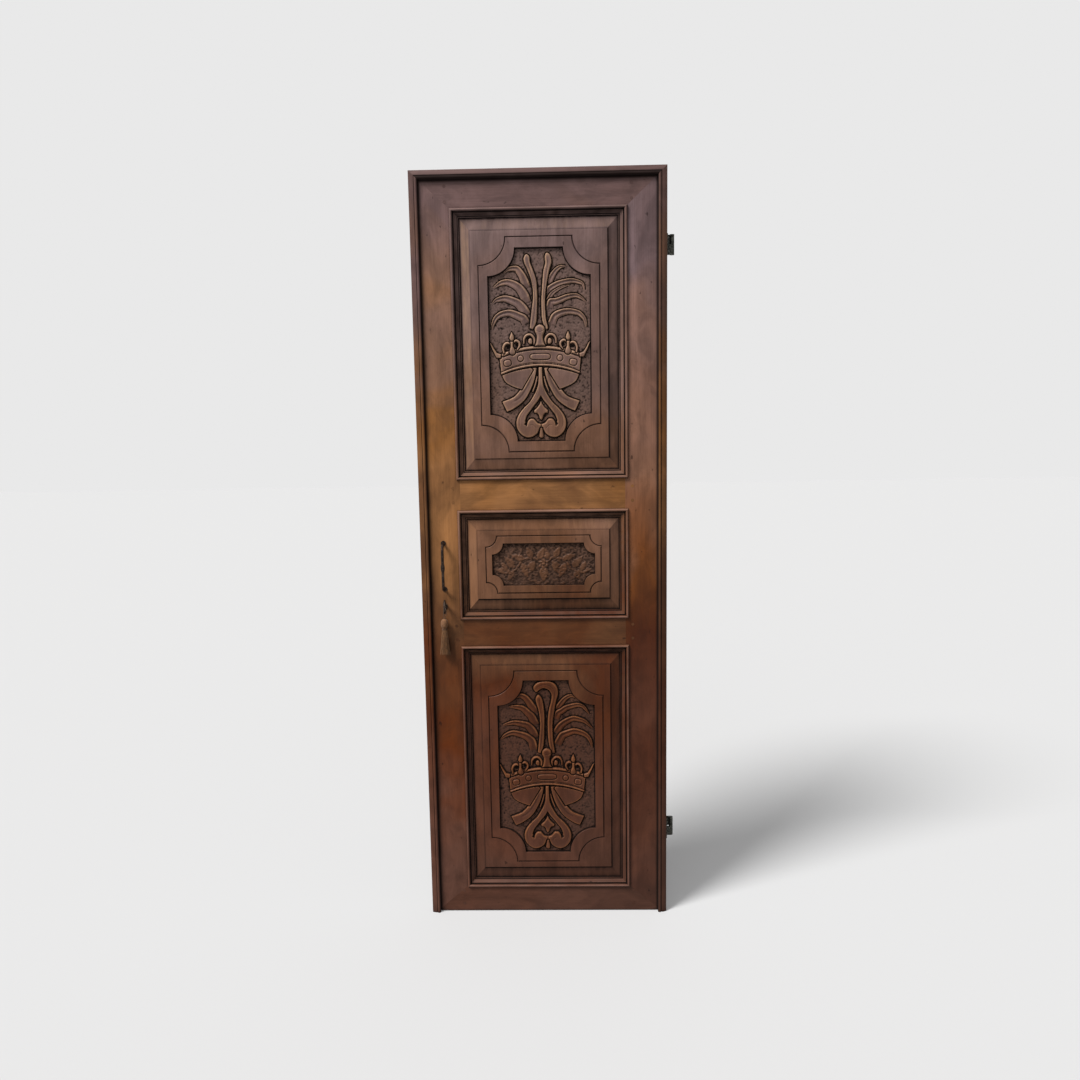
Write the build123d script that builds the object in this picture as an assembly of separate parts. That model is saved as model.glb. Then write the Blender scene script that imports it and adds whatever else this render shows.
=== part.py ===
from build123d import *
import math
import os

# A tall carved house door of dark walnut, hung in its own thin moulded frame.
# Seen from the front, x runs to the right, z runs up and y runs away from the viewer.
# The leaf's front face lies at y = 0 and the floor at z = 0. All sizes are in millimetres.

# The frame: two jambs and a head of one moulded strip, with no sill
frame_width = 690.0
frame_height = 2110.0
strip_width = 24.0
strip_proud = 12.0
strip_bead_radius = 4.5
strip_quirk = 1.0
strip_edge_proud = 5.0
cheek_width = 13.0
frame_back = 31.0
stop_gap = 0.5

# The leaf, and the room round it
leaf_thickness = 32.0
side_gap = 3.5
top_gap = 3.0
floor_gap = 2.0
stile_width = 98.5
bottom_rail_width = 84.0
lower_rail_width = 95.0
middle_opening = 294.0
upper_rail_width = 103.0
top_rail_width = 92.0

# Joinery of the leaf
groove_front = 10.0
groove_width = 8.0
groove_depth = 10.0
tongue_gap = 1.0
tenon_front = 11.0
tenon_thickness = 10.0
tenon_length = 60.0
tenon_shoulder = 14.0
peg_width = 8.0
peg_length = 26.0
peg_proud = 0.4
peg_inset = 20.0
peg_pitch = 40.0

# Mouldings round the panels, standing proud of the leaf
moulding_lap = 9.0
moulding_reach = 15.0
moulding_proud = 8.0
moulding_edge = 2.5
moulding_foot = 2.5
moulding_bead = 10.0
moulding_quirk = 1.0
cove_bulge = (0.66, 0.45)

# Panels: a raised field with a bevel all round
field_setback = 3.0
field_step = 1.5
field_margin_side = 45.0
field_margin_end = 50.0
panel_back = 22.0
panel_back_gap = 3.0

# The carved recess in each panel, with hollow corners and an incised line round it
recess_depth = 8.0
tall_recess_margins = (90.0, 95.5)
tall_corner = 74.0
tall_band = 24.0
small_recess_margins = (85.0, 86.5)
small_corner = 31.0
small_band = 17.0
incised_width = 2.6
incised_depth = 1.3
crown_size = (280.0, 521.0)
foliage_size = (290.0, 121.0)
chisel_cut = 15.0
fewest_cuts = 5
same_point = 0.01

# Hinges: an eye on the leaf drops over a pin on the jamb
upper_hinge_drop = 201.5
lower_hinge_rise = 251.0
hinge_barrel_height = 27.0
hinge_barrel_radius = 6.0
hinge_pin_radius = 3.0
hinge_pin_clearance = 0.08
hinge_rest_gap = 0.3
hinge_plate_thickness = 3.0
hinge_stand_off = 16.0
hinge_plate_inset = 76.0
side_plate_thickness = 2.5
side_plate_depth = 27.0
side_plate_margin = 2.0
barrel_arm_thickness = 3.0

# Forged nails
nail_shank = 3.0
nail_head = 9.0
nail_head_height = 2.6
nail_top_share = 1 / 3
nail_length = 13.0
side_nail_length = 10.0
shank_clearance = 0.05
hinge_nail_inset = 6.75
hinge_nail_margin = 2.0
side_nail_shift = 2.0
side_nail_stagger = 4.0

# The bow pull
pull_inset = 47.5
pull_length = 131.0
pull_drop = 1.5
pull_bar_radius = 3.6
pull_reach = 31.0
pull_bend = 24.0
pull_pin_radius = 2.8
pull_pin_clearance = 0.08
pull_knop_radius = 5.6
pull_knop_end = 4.4
pull_knop_height = 20.0
knop_flat_share = 0.4
knop_sides = 12
rose_radius = 7.0
rose_thickness = 2.0
washer_side = 20.0
washer_thickness = 2.5
rivet_radius = 5.0
rivet_height = 2.5

# The key and its hole
key_inset = 50.0
key_rise = 35.0
key_radius = 3.25
key_clearance = 0.08
key_neck = 14.0
key_collar_radius = 5.5
key_collar_length = 3.0
bow_height = 40.0
bow_reach = 33.0
bow_thickness = 4.0
bow_ring = 6.0
bow_sink = 1.0
bit_radius = 14.0
bit_thickness = 2.6
bit_width = 9.0
ward_span = (0.4, 0.6)
ward_depth_share = 0.4
keyhole_gap = 0.6

# The rim lock on the leaf's back
lock_plate_width = 92.0
lock_plate_height = 104.0
lock_plate_rise = 33.0
lock_plate_thickness = 2.5
lock_plate_inset = 3.0
lock_case_width = 75.0
lock_case_height = 84.0
lock_case_depth = 20.0
lock_wall = 2.5
lock_case_inset = 3.0
lock_nail_inset = 7.5
bolt_height = 16.0
bolt_depth = 10.0
bolt_rise = 8.0
bolt_gap = 0.4
bolt_nose = 1.0
bolt_throw = 18.0
bolt_tail = 5.0
notch_clearance = 1.4
spring_thickness = 1.2
spring_width = 8.0
spring_gap = 0.3
spring_inset_left = 4.0
spring_inset_right = 8.0

# The keeper on the left jamb's back
keeper_height = 76.0
keeper_plate_thickness = 2.5
keeper_wall = 2.5
keeper_play = 1.5
keeper_nail_pitch = 60.0

# The tassel, hung on the key's neck by a cord loop
cord_radius = 1.25
cord_seat_gap = 0.3
cord_half_width = 6.5
tassel_aside = 4.2
tassel_y = -16.8
tassel_drop = 37.0
tassel_head_radius = 10.5
tassel_head_height = 28.0
tassel_band_radius = 7.6
tassel_band_height = 3.5
tassel_skirt_length = 72.0
tassel_skirt_top = 7.0
tassel_skirt_radius = 15.0
skirt_waist_share = 0.72
skirt_waist_level = 0.55
tassel_strands = 14
strand_dip = 0.9
head_sides = 20
tassel_joint_gap = 0.3

# Worked out from the sizes above
frame_half = frame_width / 2
lip_half = frame_half - strip_width
lip_top = frame_height - strip_width
cheek_x = frame_half - cheek_width
leaf_half = cheek_x - side_gap
leaf_top = frame_height - cheek_width - top_gap
leaf_bottom = floor_gap
opening_half = leaf_half - stile_width
leaf_height = leaf_top - leaf_bottom
rails_height = bottom_rail_width + lower_rail_width + upper_rail_width + top_rail_width
tall_opening = (leaf_height - rails_height - middle_opening) / 2
lower_z0 = leaf_bottom + bottom_rail_width
lower_z1 = lower_z0 + tall_opening
middle_z0 = lower_z1 + lower_rail_width
middle_z1 = middle_z0 + middle_opening
upper_z0 = middle_z1 + upper_rail_width
upper_z1 = upper_z0 + tall_opening
tall_recess = (
    2 * (opening_half - tall_recess_margins[0]),
    tall_opening - 2 * tall_recess_margins[1],
)
small_recess = (
    2 * (opening_half - small_recess_margins[0]),
    middle_opening - 2 * small_recess_margins[1],
)
pull_x = -leaf_half + pull_inset
pull_middle = (middle_z0 + middle_z1) / 2 - pull_drop
pull_top = pull_middle + pull_length / 2
pull_bottom = pull_middle - pull_length / 2
key_x = -leaf_half + key_inset
key_z = middle_z0 + key_rise
tassel_x = key_x - tassel_aside
tassel_top = key_z - tassel_drop
hinge_centres = {"upper": frame_height - upper_hinge_drop, "lower": lower_hinge_rise}
hinge_x = frame_half + hinge_stand_off
hinge_y = leaf_thickness + hinge_plate_thickness - hinge_barrel_radius
lock_back = leaf_thickness + lock_plate_thickness
lock_left = -leaf_half + lock_plate_inset
lock_right = lock_left + lock_plate_width
case_left = lock_left + lock_case_inset
case_right = case_left + lock_case_width
case_back = lock_back + lock_case_depth
lock_top = key_z + lock_plate_rise
lock_foot = lock_top - lock_plate_height
case_top = lock_top - lock_case_inset
case_foot = case_top - lock_case_height
bolt_z0 = key_z + bolt_rise
bolt_z1 = bolt_z0 + bolt_height
bolt_y0 = lock_back + (lock_case_depth - lock_wall - bolt_depth) / 2
bolt_y1 = bolt_y0 + bolt_depth

openings = {
    "upper": (upper_z0, upper_z1),
    "middle": (middle_z0, middle_z1),
    "lower": (lower_z0, lower_z1),
}


def block(x0, x1, y0, y1, z0, z1):
    """A box between two corners."""
    centre = ((x0 + x1) / 2, (y0 + y1) / 2, (z0 + z1) / 2)
    return Pos(*centre) * Box(x1 - x0, y1 - y0, z1 - z0)


def front_prism(points, y0, y1):
    """An outline drawn on the door's front, as (x, z) points, made solid from y0 back to y1."""
    face = Plane.XZ * make_face(Polyline(*points, close=True))
    return Pos(0, y0, 0) * extrude(face, -(y1 - y0))


def rod(radius, start, end):
    """A round rod between two points."""
    path = Line(start, end)
    return extrude(Plane(origin=start, z_dir=path % 0) * Circle(radius), path.length)


def flat_ring(radius, x, y, z, sides, dip=1.0):
    """Corners of a level ring. A dip under 1 draws every second corner inward."""
    ring = []
    for index in range(sides):
        angle = 2 * math.pi * index / sides
        reach = radius * (1.0 if index % 2 == 0 else dip)
        ring.append((x + reach * math.cos(angle), y + reach * math.sin(angle), z))
    return ring


def faceted(rings):
    """A solid with flat faces between level rings that have equally many corners."""
    faces = [make_face(Polyline(*ring, close=True)) for ring in (rings[0], rings[-1])]
    for low, high in zip(rings, rings[1:]):
        for a, b, c, d in zip(low, low[1:] + low[:1], high[1:] + high[:1], high):
            faces.append(make_face(Polyline(a, b, c, d, close=True)))
    return Solid(Shell(faces))


def save(name, shape):
    """Writes one piece."""
    export_step(shape, f"parts/{name}.step")


# The frame


def strip_section():
    """Section of the frame strip: first outward from the opening, then away from the viewer."""
    bead_top = -strip_proud + strip_bead_radius
    bead_end = 2 * strip_bead_radius
    slope_start = (bead_end + strip_quirk, bead_top - strip_bead_radius / 2)
    slope_end = (strip_width, -strip_edge_proud)
    slope_middle = (
        (slope_start[0] + slope_end[0]) / 2,
        (slope_start[1] + slope_end[1]) / 2 - strip_quirk,
    )
    cheek_inner = strip_width - cheek_width
    edges = Line((0, -stop_gap), (0, bead_top))
    edges += ThreePointArc(
        (0, bead_top), (strip_bead_radius, -strip_proud), (bead_end, bead_top)
    )
    edges += Polyline((bead_end, bead_top), (slope_start[0], bead_top), slope_start)
    edges += ThreePointArc(slope_start, slope_middle, slope_end)
    edges += Polyline(
        slope_end,
        (strip_width, frame_back),
        (cheek_inner, frame_back),
        (cheek_inner, -stop_gap),
        (0, -stop_gap),
    )
    return make_face(edges)


def make_jamb(side):
    """One jamb, on the side of x that side gives as -1 or 1, mitred to the head."""
    strip = Pos(lip_half, 0, 0) * extrude(strip_section(), frame_height)
    keep = front_prism(
        [
            (lip_half, 0),
            (frame_half, 0),
            (frame_half, frame_height),
            (lip_half, lip_top),
        ],
        -strip_proud,
        frame_back,
    )
    jamb = strip & keep
    return jamb if side > 0 else mirror(jamb, about=Plane.YZ)


def make_head():
    """The frame's head, mitred at both ends."""
    upright = Pos(lip_top, 0, -frame_half) * extrude(strip_section(), frame_width)
    strip = Rot(0, -90, 0) * upright
    keep = front_prism(
        [
            (-lip_half, lip_top),
            (lip_half, lip_top),
            (frame_half, frame_height),
            (-frame_half, frame_height),
        ],
        -strip_proud,
        frame_back,
    )
    return strip & keep


# The leaf's joined framework


def rail_levels():
    """Each rail's lower and upper edge."""
    return {
        "bottom_rail": (leaf_bottom, lower_z0),
        "lower_mid_rail": (lower_z1, middle_z0),
        "upper_mid_rail": (middle_z1, upper_z0),
        "top_rail": (upper_z1, leaf_top),
    }


def tenon(z0, z1, side):
    """The tenon of a rail between two levels, at one end."""
    inner, outer = sorted((side * opening_half, side * (opening_half + tenon_length)))
    return block(
        inner, outer, tenon_front, tenon_front + tenon_thickness,
        z0 + tenon_shoulder, z1 - tenon_shoulder,
    )


def groove(z0, z1):
    """The groove that one panel sits in, cut round its opening."""
    reach = groove_depth
    return block(
        -opening_half - reach, opening_half + reach,
        groove_front, groove_front + groove_width,
        z0 - reach, z1 + reach,
    )


def all_grooves():
    return [groove(z0, z1) for z0, z1 in openings.values()]


def peg_places():
    """Centres of the wooden pins, as (x, z): two through each tenon."""
    places = []
    for z0, z1 in rail_levels().values():
        middle = (z0 + z1) / 2
        for side in (-1, 1):
            for step in (-0.5, 0.5):
                places.append((side * (opening_half + peg_inset), middle + step * peg_pitch))
    return places


def make_pegs():
    """The wooden pins, left eight-sided as they were cut."""
    peg = extrude(Plane.XZ * RegularPolygon(peg_width / 2, 8, major_radius=False), -peg_length)
    return [Pos(x, -peg_proud, z) * peg for x, z in peg_places()]


def nail_hole(x, z, back, plate_thickness):
    """The hole that a nail makes in the wood whose back lies at y, under a plate."""
    half = nail_shank / 2 + shank_clearance
    depth = nail_length - plate_thickness + shank_clearance
    return block(x - half, x + half, back - depth, back, z - half, z + half)


def make_rail(name):
    """One rail. The top and bottom rails meet the stiles in mitres, the others butt."""
    z0, z1 = rail_levels()[name]
    low, high = opening_half, opening_half
    if name == "bottom_rail":
        low = leaf_half
    if name == "top_rail":
        high = leaf_half
    outline = [(-low, z0), (low, z0), (high, z1), (-high, z1)]
    rail = front_prism(outline, 0, leaf_thickness)
    rail += [tenon(z0, z1, side) for side in (-1, 1)]
    return rail - all_grooves() - make_pegs()


def make_stile(side):
    """One upright of the leaf, with its mortises and the groove for the panels."""
    outline = [
        (side * leaf_half, leaf_bottom),
        (side * opening_half, lower_z0),
        (side * opening_half, upper_z1),
        (side * leaf_half, leaf_top),
    ]
    stile = front_prism(outline, 0, leaf_thickness)
    stile -= [tenon(z0, z1, side) for z0, z1 in rail_levels().values()]
    return stile - all_grooves() - make_pegs()


def pull_holes():
    """Bores for the two ends of the pull."""
    radius = pull_pin_radius + pull_pin_clearance
    return [
        rod(radius, (pull_x, 0, z), (pull_x, leaf_thickness, z))
        for z in (pull_top, pull_bottom)
    ]


def keyhole(y0, y1):
    """A keyhole through a wall: round above for the shank, a slot below for the bit."""
    slot = bit_thickness / 2 + keyhole_gap
    hole = rod(key_radius + key_clearance, (key_x, y0, key_z), (key_x, y1, key_z))
    return hole + block(key_x - slot, key_x + slot, y0, y1, key_z - bit_radius - keyhole_gap, key_z)


def make_left_stile():
    """The lock stile, bored for the pull, the key and the lock's nails."""
    stile = make_stile(-1) - pull_holes() - keyhole(0, leaf_thickness)
    return stile - [nail_hole(x, z, leaf_thickness, lock_plate_thickness)
                    for x, z in lock_nail_places()]


def make_right_stile():
    """The hinge stile, holed for the hinge nails."""
    holes = [nail_hole(x, z, leaf_thickness, hinge_plate_thickness)
             for x, z in hinge_nail_places()]
    return make_stile(1) - holes


# Mouldings round the panels


def moulding_section():
    """Section of a panel moulding: first outward from the panel, then away from the viewer."""
    bead_start = moulding_reach + moulding_lap - moulding_edge - moulding_bead
    bead_end = bead_start + moulding_bead
    bead_foot = -moulding_proud / 2
    width = moulding_reach + moulding_lap
    cove_start = (0, groove_front - moulding_foot)
    cove_end = (bead_start - moulding_quirk, 0)
    cove_middle = (bead_start * cove_bulge[0], groove_front * cove_bulge[1])
    edges = Line((0, groove_front), cove_start)
    edges += ThreePointArc(cove_start, cove_middle, cove_end)
    edges += Polyline(cove_end, (cove_end[0], bead_foot), (bead_start, bead_foot))
    edges += ThreePointArc(
        (bead_start, bead_foot),
        ((bead_start + bead_end) / 2, -moulding_proud),
        (bead_end, bead_foot),
    )
    edges += Polyline(
        (bead_end, bead_foot),
        (width, -moulding_edge / 2),
        (width, 0),
        (moulding_reach, 0),
        (moulding_reach, groove_front),
        (0, groove_front),
    )
    return make_face(edges)


def make_moulding(half_length, half_across):
    """One mitred length, lying along x, above an opening whose middle is the origin."""
    inner = half_across - moulding_reach
    outer = half_across + moulding_lap
    end_inner = half_length - moulding_reach
    end_outer = half_length + moulding_lap
    upright = Pos(inner, 0, -end_outer) * extrude(moulding_section(), 2 * end_outer)
    outline = [(-end_inner, inner), (end_inner, inner), (end_outer, outer), (-end_outer, outer)]
    return (Rot(0, -90, 0) * upright) & front_prism(outline, -moulding_proud, groove_front)


def panel_mouldings(z0, z1):
    """The four lengths round one opening."""
    middle = (z0 + z1) / 2
    half_height = (z1 - z0) / 2
    across = make_moulding(opening_half, half_height)
    along = make_moulding(half_height, opening_half)
    turns = {"top": (across, 0), "right": (along, 90), "bottom": (across, 180), "left": (along, 270)}
    return {
        place: Pos(0, 0, middle) * Rot(0, angle, 0) * length
        for place, (length, angle) in turns.items()
    }


# Panels. They are drawn flat, x right and y up, with the carving rising along z,
# and stood up on the door at the end.


def hollow_corner_face(size, corner, grow=0.0):
    """A rectangle with hollow corners. The larger ones keep the same corner centres."""
    half_w, half_h = size[0] / 2, size[1] / 2
    radius = corner - grow
    face = Rectangle(size[0] + 2 * grow, size[1] + 2 * grow)
    for side_x in (-1, 1):
        for side_y in (-1, 1):
            face -= Pos(side_x * half_w, side_y * half_h) * Circle(radius)
            if grow > 0:
                reach = radius + grow
                middle = (grow - radius) / 2
                face -= Pos(side_x * (half_w + middle), side_y * (half_h + grow / 2)) * Rectangle(
                    reach, grow
                )
                face -= Pos(side_x * (half_w + grow / 2), side_y * (half_h + middle)) * Rectangle(
                    grow, reach
                )
    return face


def panel_board(opening_height):
    """The plain board: tongue, bevel, raised field and flat back."""
    half_w = opening_half
    half_h = opening_height / 2
    tongue = groove_depth - tongue_gap
    tongue_top = field_setback - groove_front
    tongue_low = tongue_top - groove_width
    field = Rectangle(2 * (half_w - field_margin_side), 2 * (half_h - field_margin_end))
    foot = Rectangle(2 * (half_w - moulding_reach), 2 * (half_h - moulding_reach))
    back = Rectangle(2 * (half_w - panel_back_gap), 2 * (half_h - panel_back_gap))
    edge = Rectangle(2 * (half_w + tongue), 2 * (half_h + tongue))
    board = Pos(0, 0, tongue_low) * extrude(edge, groove_width)
    board += loft([Pos(0, 0, tongue_top) * foot, Pos(0, 0, -field_step) * field], ruled=True)
    board += Pos(0, 0, -field_step) * extrude(field, field_step)
    board += Pos(0, 0, field_setback - panel_back) * extrude(
        back, panel_back - field_setback + tongue_low
    )
    return board


def cut_recess(board, size, corner, band):
    """Sinks the carved recess and cuts the incised line round it."""
    recess = extrude(hollow_corner_face(size, corner), -recess_depth)
    half_line = incised_width / 2
    line_face = hollow_corner_face(size, corner, band + half_line)
    line_face -= hollow_corner_face(size, corner, band - half_line)
    return board - recess - extrude(line_face, -incised_depth)


def carved(outline, height):
    """A carved form on the recess's ground: an outline raised to a height above the ground."""
    return extrude(make_face(outline), height)


def cut_curve(curve, cut=chisel_cut):
    """Points along a smooth curve, one to each straight cut of the chisel."""
    count = max(fewest_cuts, round(curve.length / cut))
    return [(at.X, at.Y) for at in curve.positions([step / count for step in range(count + 1)])]


def cut_outline(*curves):
    """A closed outline of chisel cuts along one curve after another."""
    points = []
    for curve in curves:
        for point in cut_curve(curve):
            if not points or math.dist(point, points[-1]) > same_point:
                points.append(point)
    if math.dist(points[0], points[-1]) < same_point:
        points.pop()
    return Polyline(*points, close=True)


def smooth_outline(first_side, second_side):
    """Two smooth sides, each a list of points, closed by straight ends."""
    return cut_outline(Spline(*first_side), Spline(*second_side))


def stroke(points, widths, height):
    """A carved stroke that follows a curve, with its own width at each point."""
    left, right = [], []
    for index, (point, width) in enumerate(zip(points, widths)):
        before = points[max(index - 1, 0)]
        after = points[min(index + 1, len(points) - 1)]
        angle = math.atan2(after[1] - before[1], after[0] - before[0]) + math.pi / 2
        step = (math.cos(angle) * width / 2, math.sin(angle) * width / 2)
        left.append((point[0] + step[0], point[1] + step[1]))
        right.append((point[0] - step[0], point[1] - step[1]))
    return carved(smooth_outline(left, right[::-1]), height)


def both_sides(shapes):
    """The shapes and their mirror images across the panel's upright middle line."""
    return shapes + [mirror(shape, about=Plane.YZ) for shape in shapes]


plume_height = 6.5
frond_height = 5.5
crown_height = 5.0
rim_height = 7.0
jewel_height = 7.6
sash_height = 6.0
scroll_height = 6.8
lining_height = 2.6


def tall_plumes():
    """The two tall plumes in the middle of the upper panel."""
    inner = [(14, 42), (8, 65), (5, 94), (5, 147), (8, 174), (13, 200), (20, 220), (23, 240)]
    outer = [(33, 240), (36, 217), (31, 201), (24, 176), (19, 150), (19, 120), (23, 90), (25, 42)]
    return both_sides([carved(smooth_outline(inner, outer), plume_height)])


def hooked_plumes():
    """The lower panel's plumes: a short one at the left, under the hook of the right one."""
    inner = [(-14, 42), (-8, 65), (-5, 94), (-5, 147), (-8, 182), (-14, 210)]
    outer = [(-25, 212), (-22, 180), (-17, 150), (-17, 120), (-21, 90), (-25, 42)]
    short = carved(smooth_outline(inner, outer), plume_height)
    hook = stroke([(19, 42), (13, 90), (12, 140), (19, 185), (28, 218), (20, 242), (-4, 251), (-28, 236)],
                  [12, 14, 12, 12, 11, 11, 10, 6], plume_height)
    return [short, hook]


def left_fronds():
    """The fronds that arch to the left, from the top one down."""
    return [
        stroke([(-22, 158), (-34, 184), (-52, 205), (-74, 209), (-95, 197)],
               [12, 11, 11, 9, 5], frond_height),
        stroke([(-22, 118), (-34, 146), (-58, 164), (-90, 172), (-121, 157)],
               [12, 13, 13, 12, 7], frond_height),
        stroke([(-22, 84), (-40, 112), (-64, 123), (-94, 128), (-126, 113)],
               [13, 13, 12, 11, 7], frond_height),
        stroke([(-24, 50), (-42, 76), (-66, 90), (-94, 90), (-118, 74), (-129, 50)],
               [14, 15, 12, 12, 10, 4], frond_height),
    ]


def right_fronds():
    """The fronds that arch to the right, from the top one down."""
    return [
        stroke([(21, 164), (34, 188), (52, 206), (74, 209)],
               [10, 10, 9, 5], frond_height),
        stroke([(19, 134), (34, 156), (58, 169), (88, 173), (112, 166), (123, 149)],
               [10, 10, 9, 9, 9, 5], frond_height),
        stroke([(18, 112), (28, 134), (46, 149), (72, 157)],
               [8, 7, 6, 4], frond_height),
        stroke([(19, 88), (33, 112), (58, 126), (88, 132), (112, 125), (126, 110)],
               [10, 10, 9, 9, 9, 5], frond_height),
        stroke([(21, 48), (36, 74), (60, 91), (88, 92), (112, 80), (124, 58), (124, 42)],
               [12, 11, 10, 11, 11, 10, 5], frond_height),
    ]


def arc_band(low, high, height):
    """A band between two arcs, each given as its end point at the right and its crown height."""
    (low_x, low_y), low_crown = low
    (high_x, high_y), high_crown = high
    low_arc = ThreePointArc((-low_x, low_y), (0, low_crown), (low_x, low_y))
    high_arc = ThreePointArc((high_x, high_y), (0, high_crown), (-high_x, high_y))
    return carved(cut_outline(low_arc, high_arc), height)


def crown_band():
    """The crown's curved band with a roll above and below."""
    low_edge = ((106, -77), -57)
    low_groove = ((108, -66), -46)
    high_groove = ((116, -35), -10)
    high_edge = ((112, -22), -1)
    return [
        arc_band(low_edge, high_edge, crown_height),
        arc_band(low_edge, low_groove, rim_height),
        arc_band(high_groove, high_edge, rim_height),
    ]


def jewels():
    """Stones set in the crown's band."""
    oblong = Pos(0, -30) * SlotOverall(50, 15)
    shapes = [extrude(oblong, jewel_height)]
    round_stone = Pos(54, -33) * RegularPolygon(6.5, 10)
    square_stone = Pos(90, -46) * Rot(0, 0, -14) * Rectangle(15, 13)
    stones = [extrude(face, jewel_height) for face in (round_stone, square_stone)]
    return shapes + both_sides(stones)


def crown_points():
    """The corner spikes, the two small fleurons and the middle one."""
    spike = carved(
        Polyline((140, 11), (129, -14), (118, -36), (108, -24), (122, -10), (132, 2), close=True),
        frond_height,
    )
    drop = carved(Polyline((76, 38), (70, 25), (73, 12), (80, 12), (82, 25), close=True), rim_height)
    foot = stroke([(72, -16), (75, 0), (76, 16)], [16, 8, 9], frond_height)
    outer_curl = stroke([(77, 8), (86, 16), (96, 10), (98, -2)], [6, 7, 7, 5], frond_height)
    inner_curl = stroke([(75, 8), (67, 17), (57, 13), (54, 3)], [6, 7, 7, 5], frond_height)
    side_arch = stroke([(14, 2), (17, 22), (27, 30), (38, 24), (41, 10)], [7, 7, 7, 6, 5], rim_height)
    side_drop = Pos(27, 14) * extrude(RegularPolygon(5.5, 10), frond_height)
    middle = carved(
        smooth_outline([(-16, -3), (-8, 14), (-7, 30), (-13, 50)], [(13, 50), (7, 30), (8, 14), (16, -3)]),
        rim_height,
    )
    return [middle] + both_sides([spike, drop, foot, outer_curl, inner_curl, side_arch, side_drop])


def crown_lining():
    """The crown's hollow underside, a flat low crescent."""
    rim = cut_curve(Spline((107, -76), (98, -97), (80, -108), (50, -119)))
    outline = Polyline(*rim, (22, -70), (30, -58), close=True)
    return both_sides([carved(outline, lining_height)])


def sashes():
    """Two broad sashes that sweep down and outward from under the crown."""
    inner = [(9, -60), (12, -78), (19, -100), (27, -119), (38, -138), (53, -154), (93, -179)]
    outer = [(106, -150), (76, -139), (58, -121), (46, -102), (38, -82), (32, -60)]
    return both_sides([carved(smooth_outline(inner, outer), sash_height)])


def heart_scroll():
    """The stem that parts into a heart of two scrolls."""
    outer = [(6, -60), (7, -104), (15, -130), (31, -153), (52, -172), (66, -193),
             (69, -214), (60, -240), (44, -251), (25, -250), (12, -240), (5, -228)]
    lobe = [(3, -214), (12, -209), (22, -197), (32, -198), (38, -206), (41, -218)]
    inside = [(41, -218), (43, -204), (37, -189), (24, -172), (12, -157), (0, -140)]
    edges = Polyline(*cut_curve(Spline(*outer)), (0, -222), (0, -214), *cut_curve(Spline(*lobe)),
                     *cut_curve(Spline(*inside))[1:], (0, -60), close=True)
    peg = carved(Polyline((-6, -226), (6, -226), (9, -247), (-9, -247), close=True), frond_height)
    return [peg] + both_sides([carved(edges, scroll_height)])


def small_fleuron():
    """The small three-leaved flower inside the heart."""
    half = [(0, -150), (6, -164), (18, -178), (9, -182), (6, -190), (0, -201)]
    points = half + [(-x, y) for x, y in half[-2:0:-1]]
    return [carved(Polyline(*points, close=True), frond_height)]


def crown_and_plumes(name):
    """The whole carving of a tall panel."""
    pieces = tall_plumes() if name == "upper" else hooked_plumes()
    pieces += left_fronds() + right_fronds()
    pieces += crown_band() + jewels() + crown_points() + crown_lining()
    return pieces + sashes() + heart_scroll() + small_fleuron()


def leaf_form(x, y, angle, length, width, height):
    """One pointed leaf that starts at a point and grows along an angle in degrees."""
    side = [(0, 0), (length * 0.4, width / 2), (length, 0)]
    outline = cut_outline(Spline(*side), Spline(*[(px, -py) for px, py in side[::-1]]))
    return Pos(x, y) * Rot(0, 0, angle) * carved(outline, height)


def foliage():
    """A plain spray of leaves on a waving stem, for the small panel."""
    stem = stroke([(-4, -4), (26, 18), (58, 10), (84, -18), (118, -22)], [9, 8, 7, 6, 4], 4.0)
    sprays = [(16, 12, 118, 42, 22), (30, 16, 62, 40, 20), (52, 12, 20, 44, 20),
              (24, 10, -58, 56, 24), (62, 4, -112, 48, 22), (80, -12, 48, 48, 22),
              (92, -22, 8, 46, 20), (86, -18, -62, 34, 18), (104, -22, 62, 34, 18)]
    leaves = [leaf_form(x, y, angle, length, width, 4.6 + 0.2 * (index % 3))
              for index, (x, y, angle, length, width) in enumerate(sprays)]
    heart = extrude(RegularPolygon(13, 10), 5.6)
    crest = [leaf_form(0, 6, 90, 46, 24, 5.0), leaf_form(0, -6, -90, 44, 26, 5.0)]
    return [heart] + crest + both_sides([stem] + leaves)


def stand_up(shape, z):
    """Stands a flat panel up on the door, with its middle at a height."""
    return Pos(0, field_setback, z) * Rot(90, 0, 0) * shape


def fitted_carving(pieces, drawn_size, size):
    """The carving as one solid, scaled from the size it was drawn for to its recess."""
    relief = Part() + pieces
    share = min(size[0] / drawn_size[0], size[1] / drawn_size[1])
    return Pos(0, 0, -recess_depth) * scale(relief, by=share)


def make_panel(name):
    """One panel board with its carving."""
    z0, z1 = openings[name]
    if name == "middle":
        size, corner, band = small_recess, small_corner, small_band
        relief = fitted_carving(foliage(), foliage_size, size)
    else:
        size, corner, band = tall_recess, tall_corner, tall_band
        relief = fitted_carving(crown_and_plumes(name), crown_size, size)
    board = cut_recess(panel_board(z1 - z0), size, corner, band)
    room = Pos(0, 0, -recess_depth) * extrude(hollow_corner_face(size, corner), recess_depth)
    return stand_up(board + (relief & room), (z0 + z1) / 2)


# Hinges


def forged_nail(length):
    """A square nail with a low four-sided head. It points away along -z."""
    shank = Pos(0, 0, -length / 2) * Box(nail_shank, nail_shank, length)
    slope = math.degrees(math.atan(nail_head * nail_top_share / nail_head_height))
    return extrude(Rectangle(nail_head, nail_head), nail_head_height, taper=slope) + shank


def back_nail(x, y, z, length):
    """A nail driven forward into the leaf or frame from behind, its head against y."""
    return Pos(x, y, z) * Rot(-90, 0, 0) * forged_nail(length)


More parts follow.
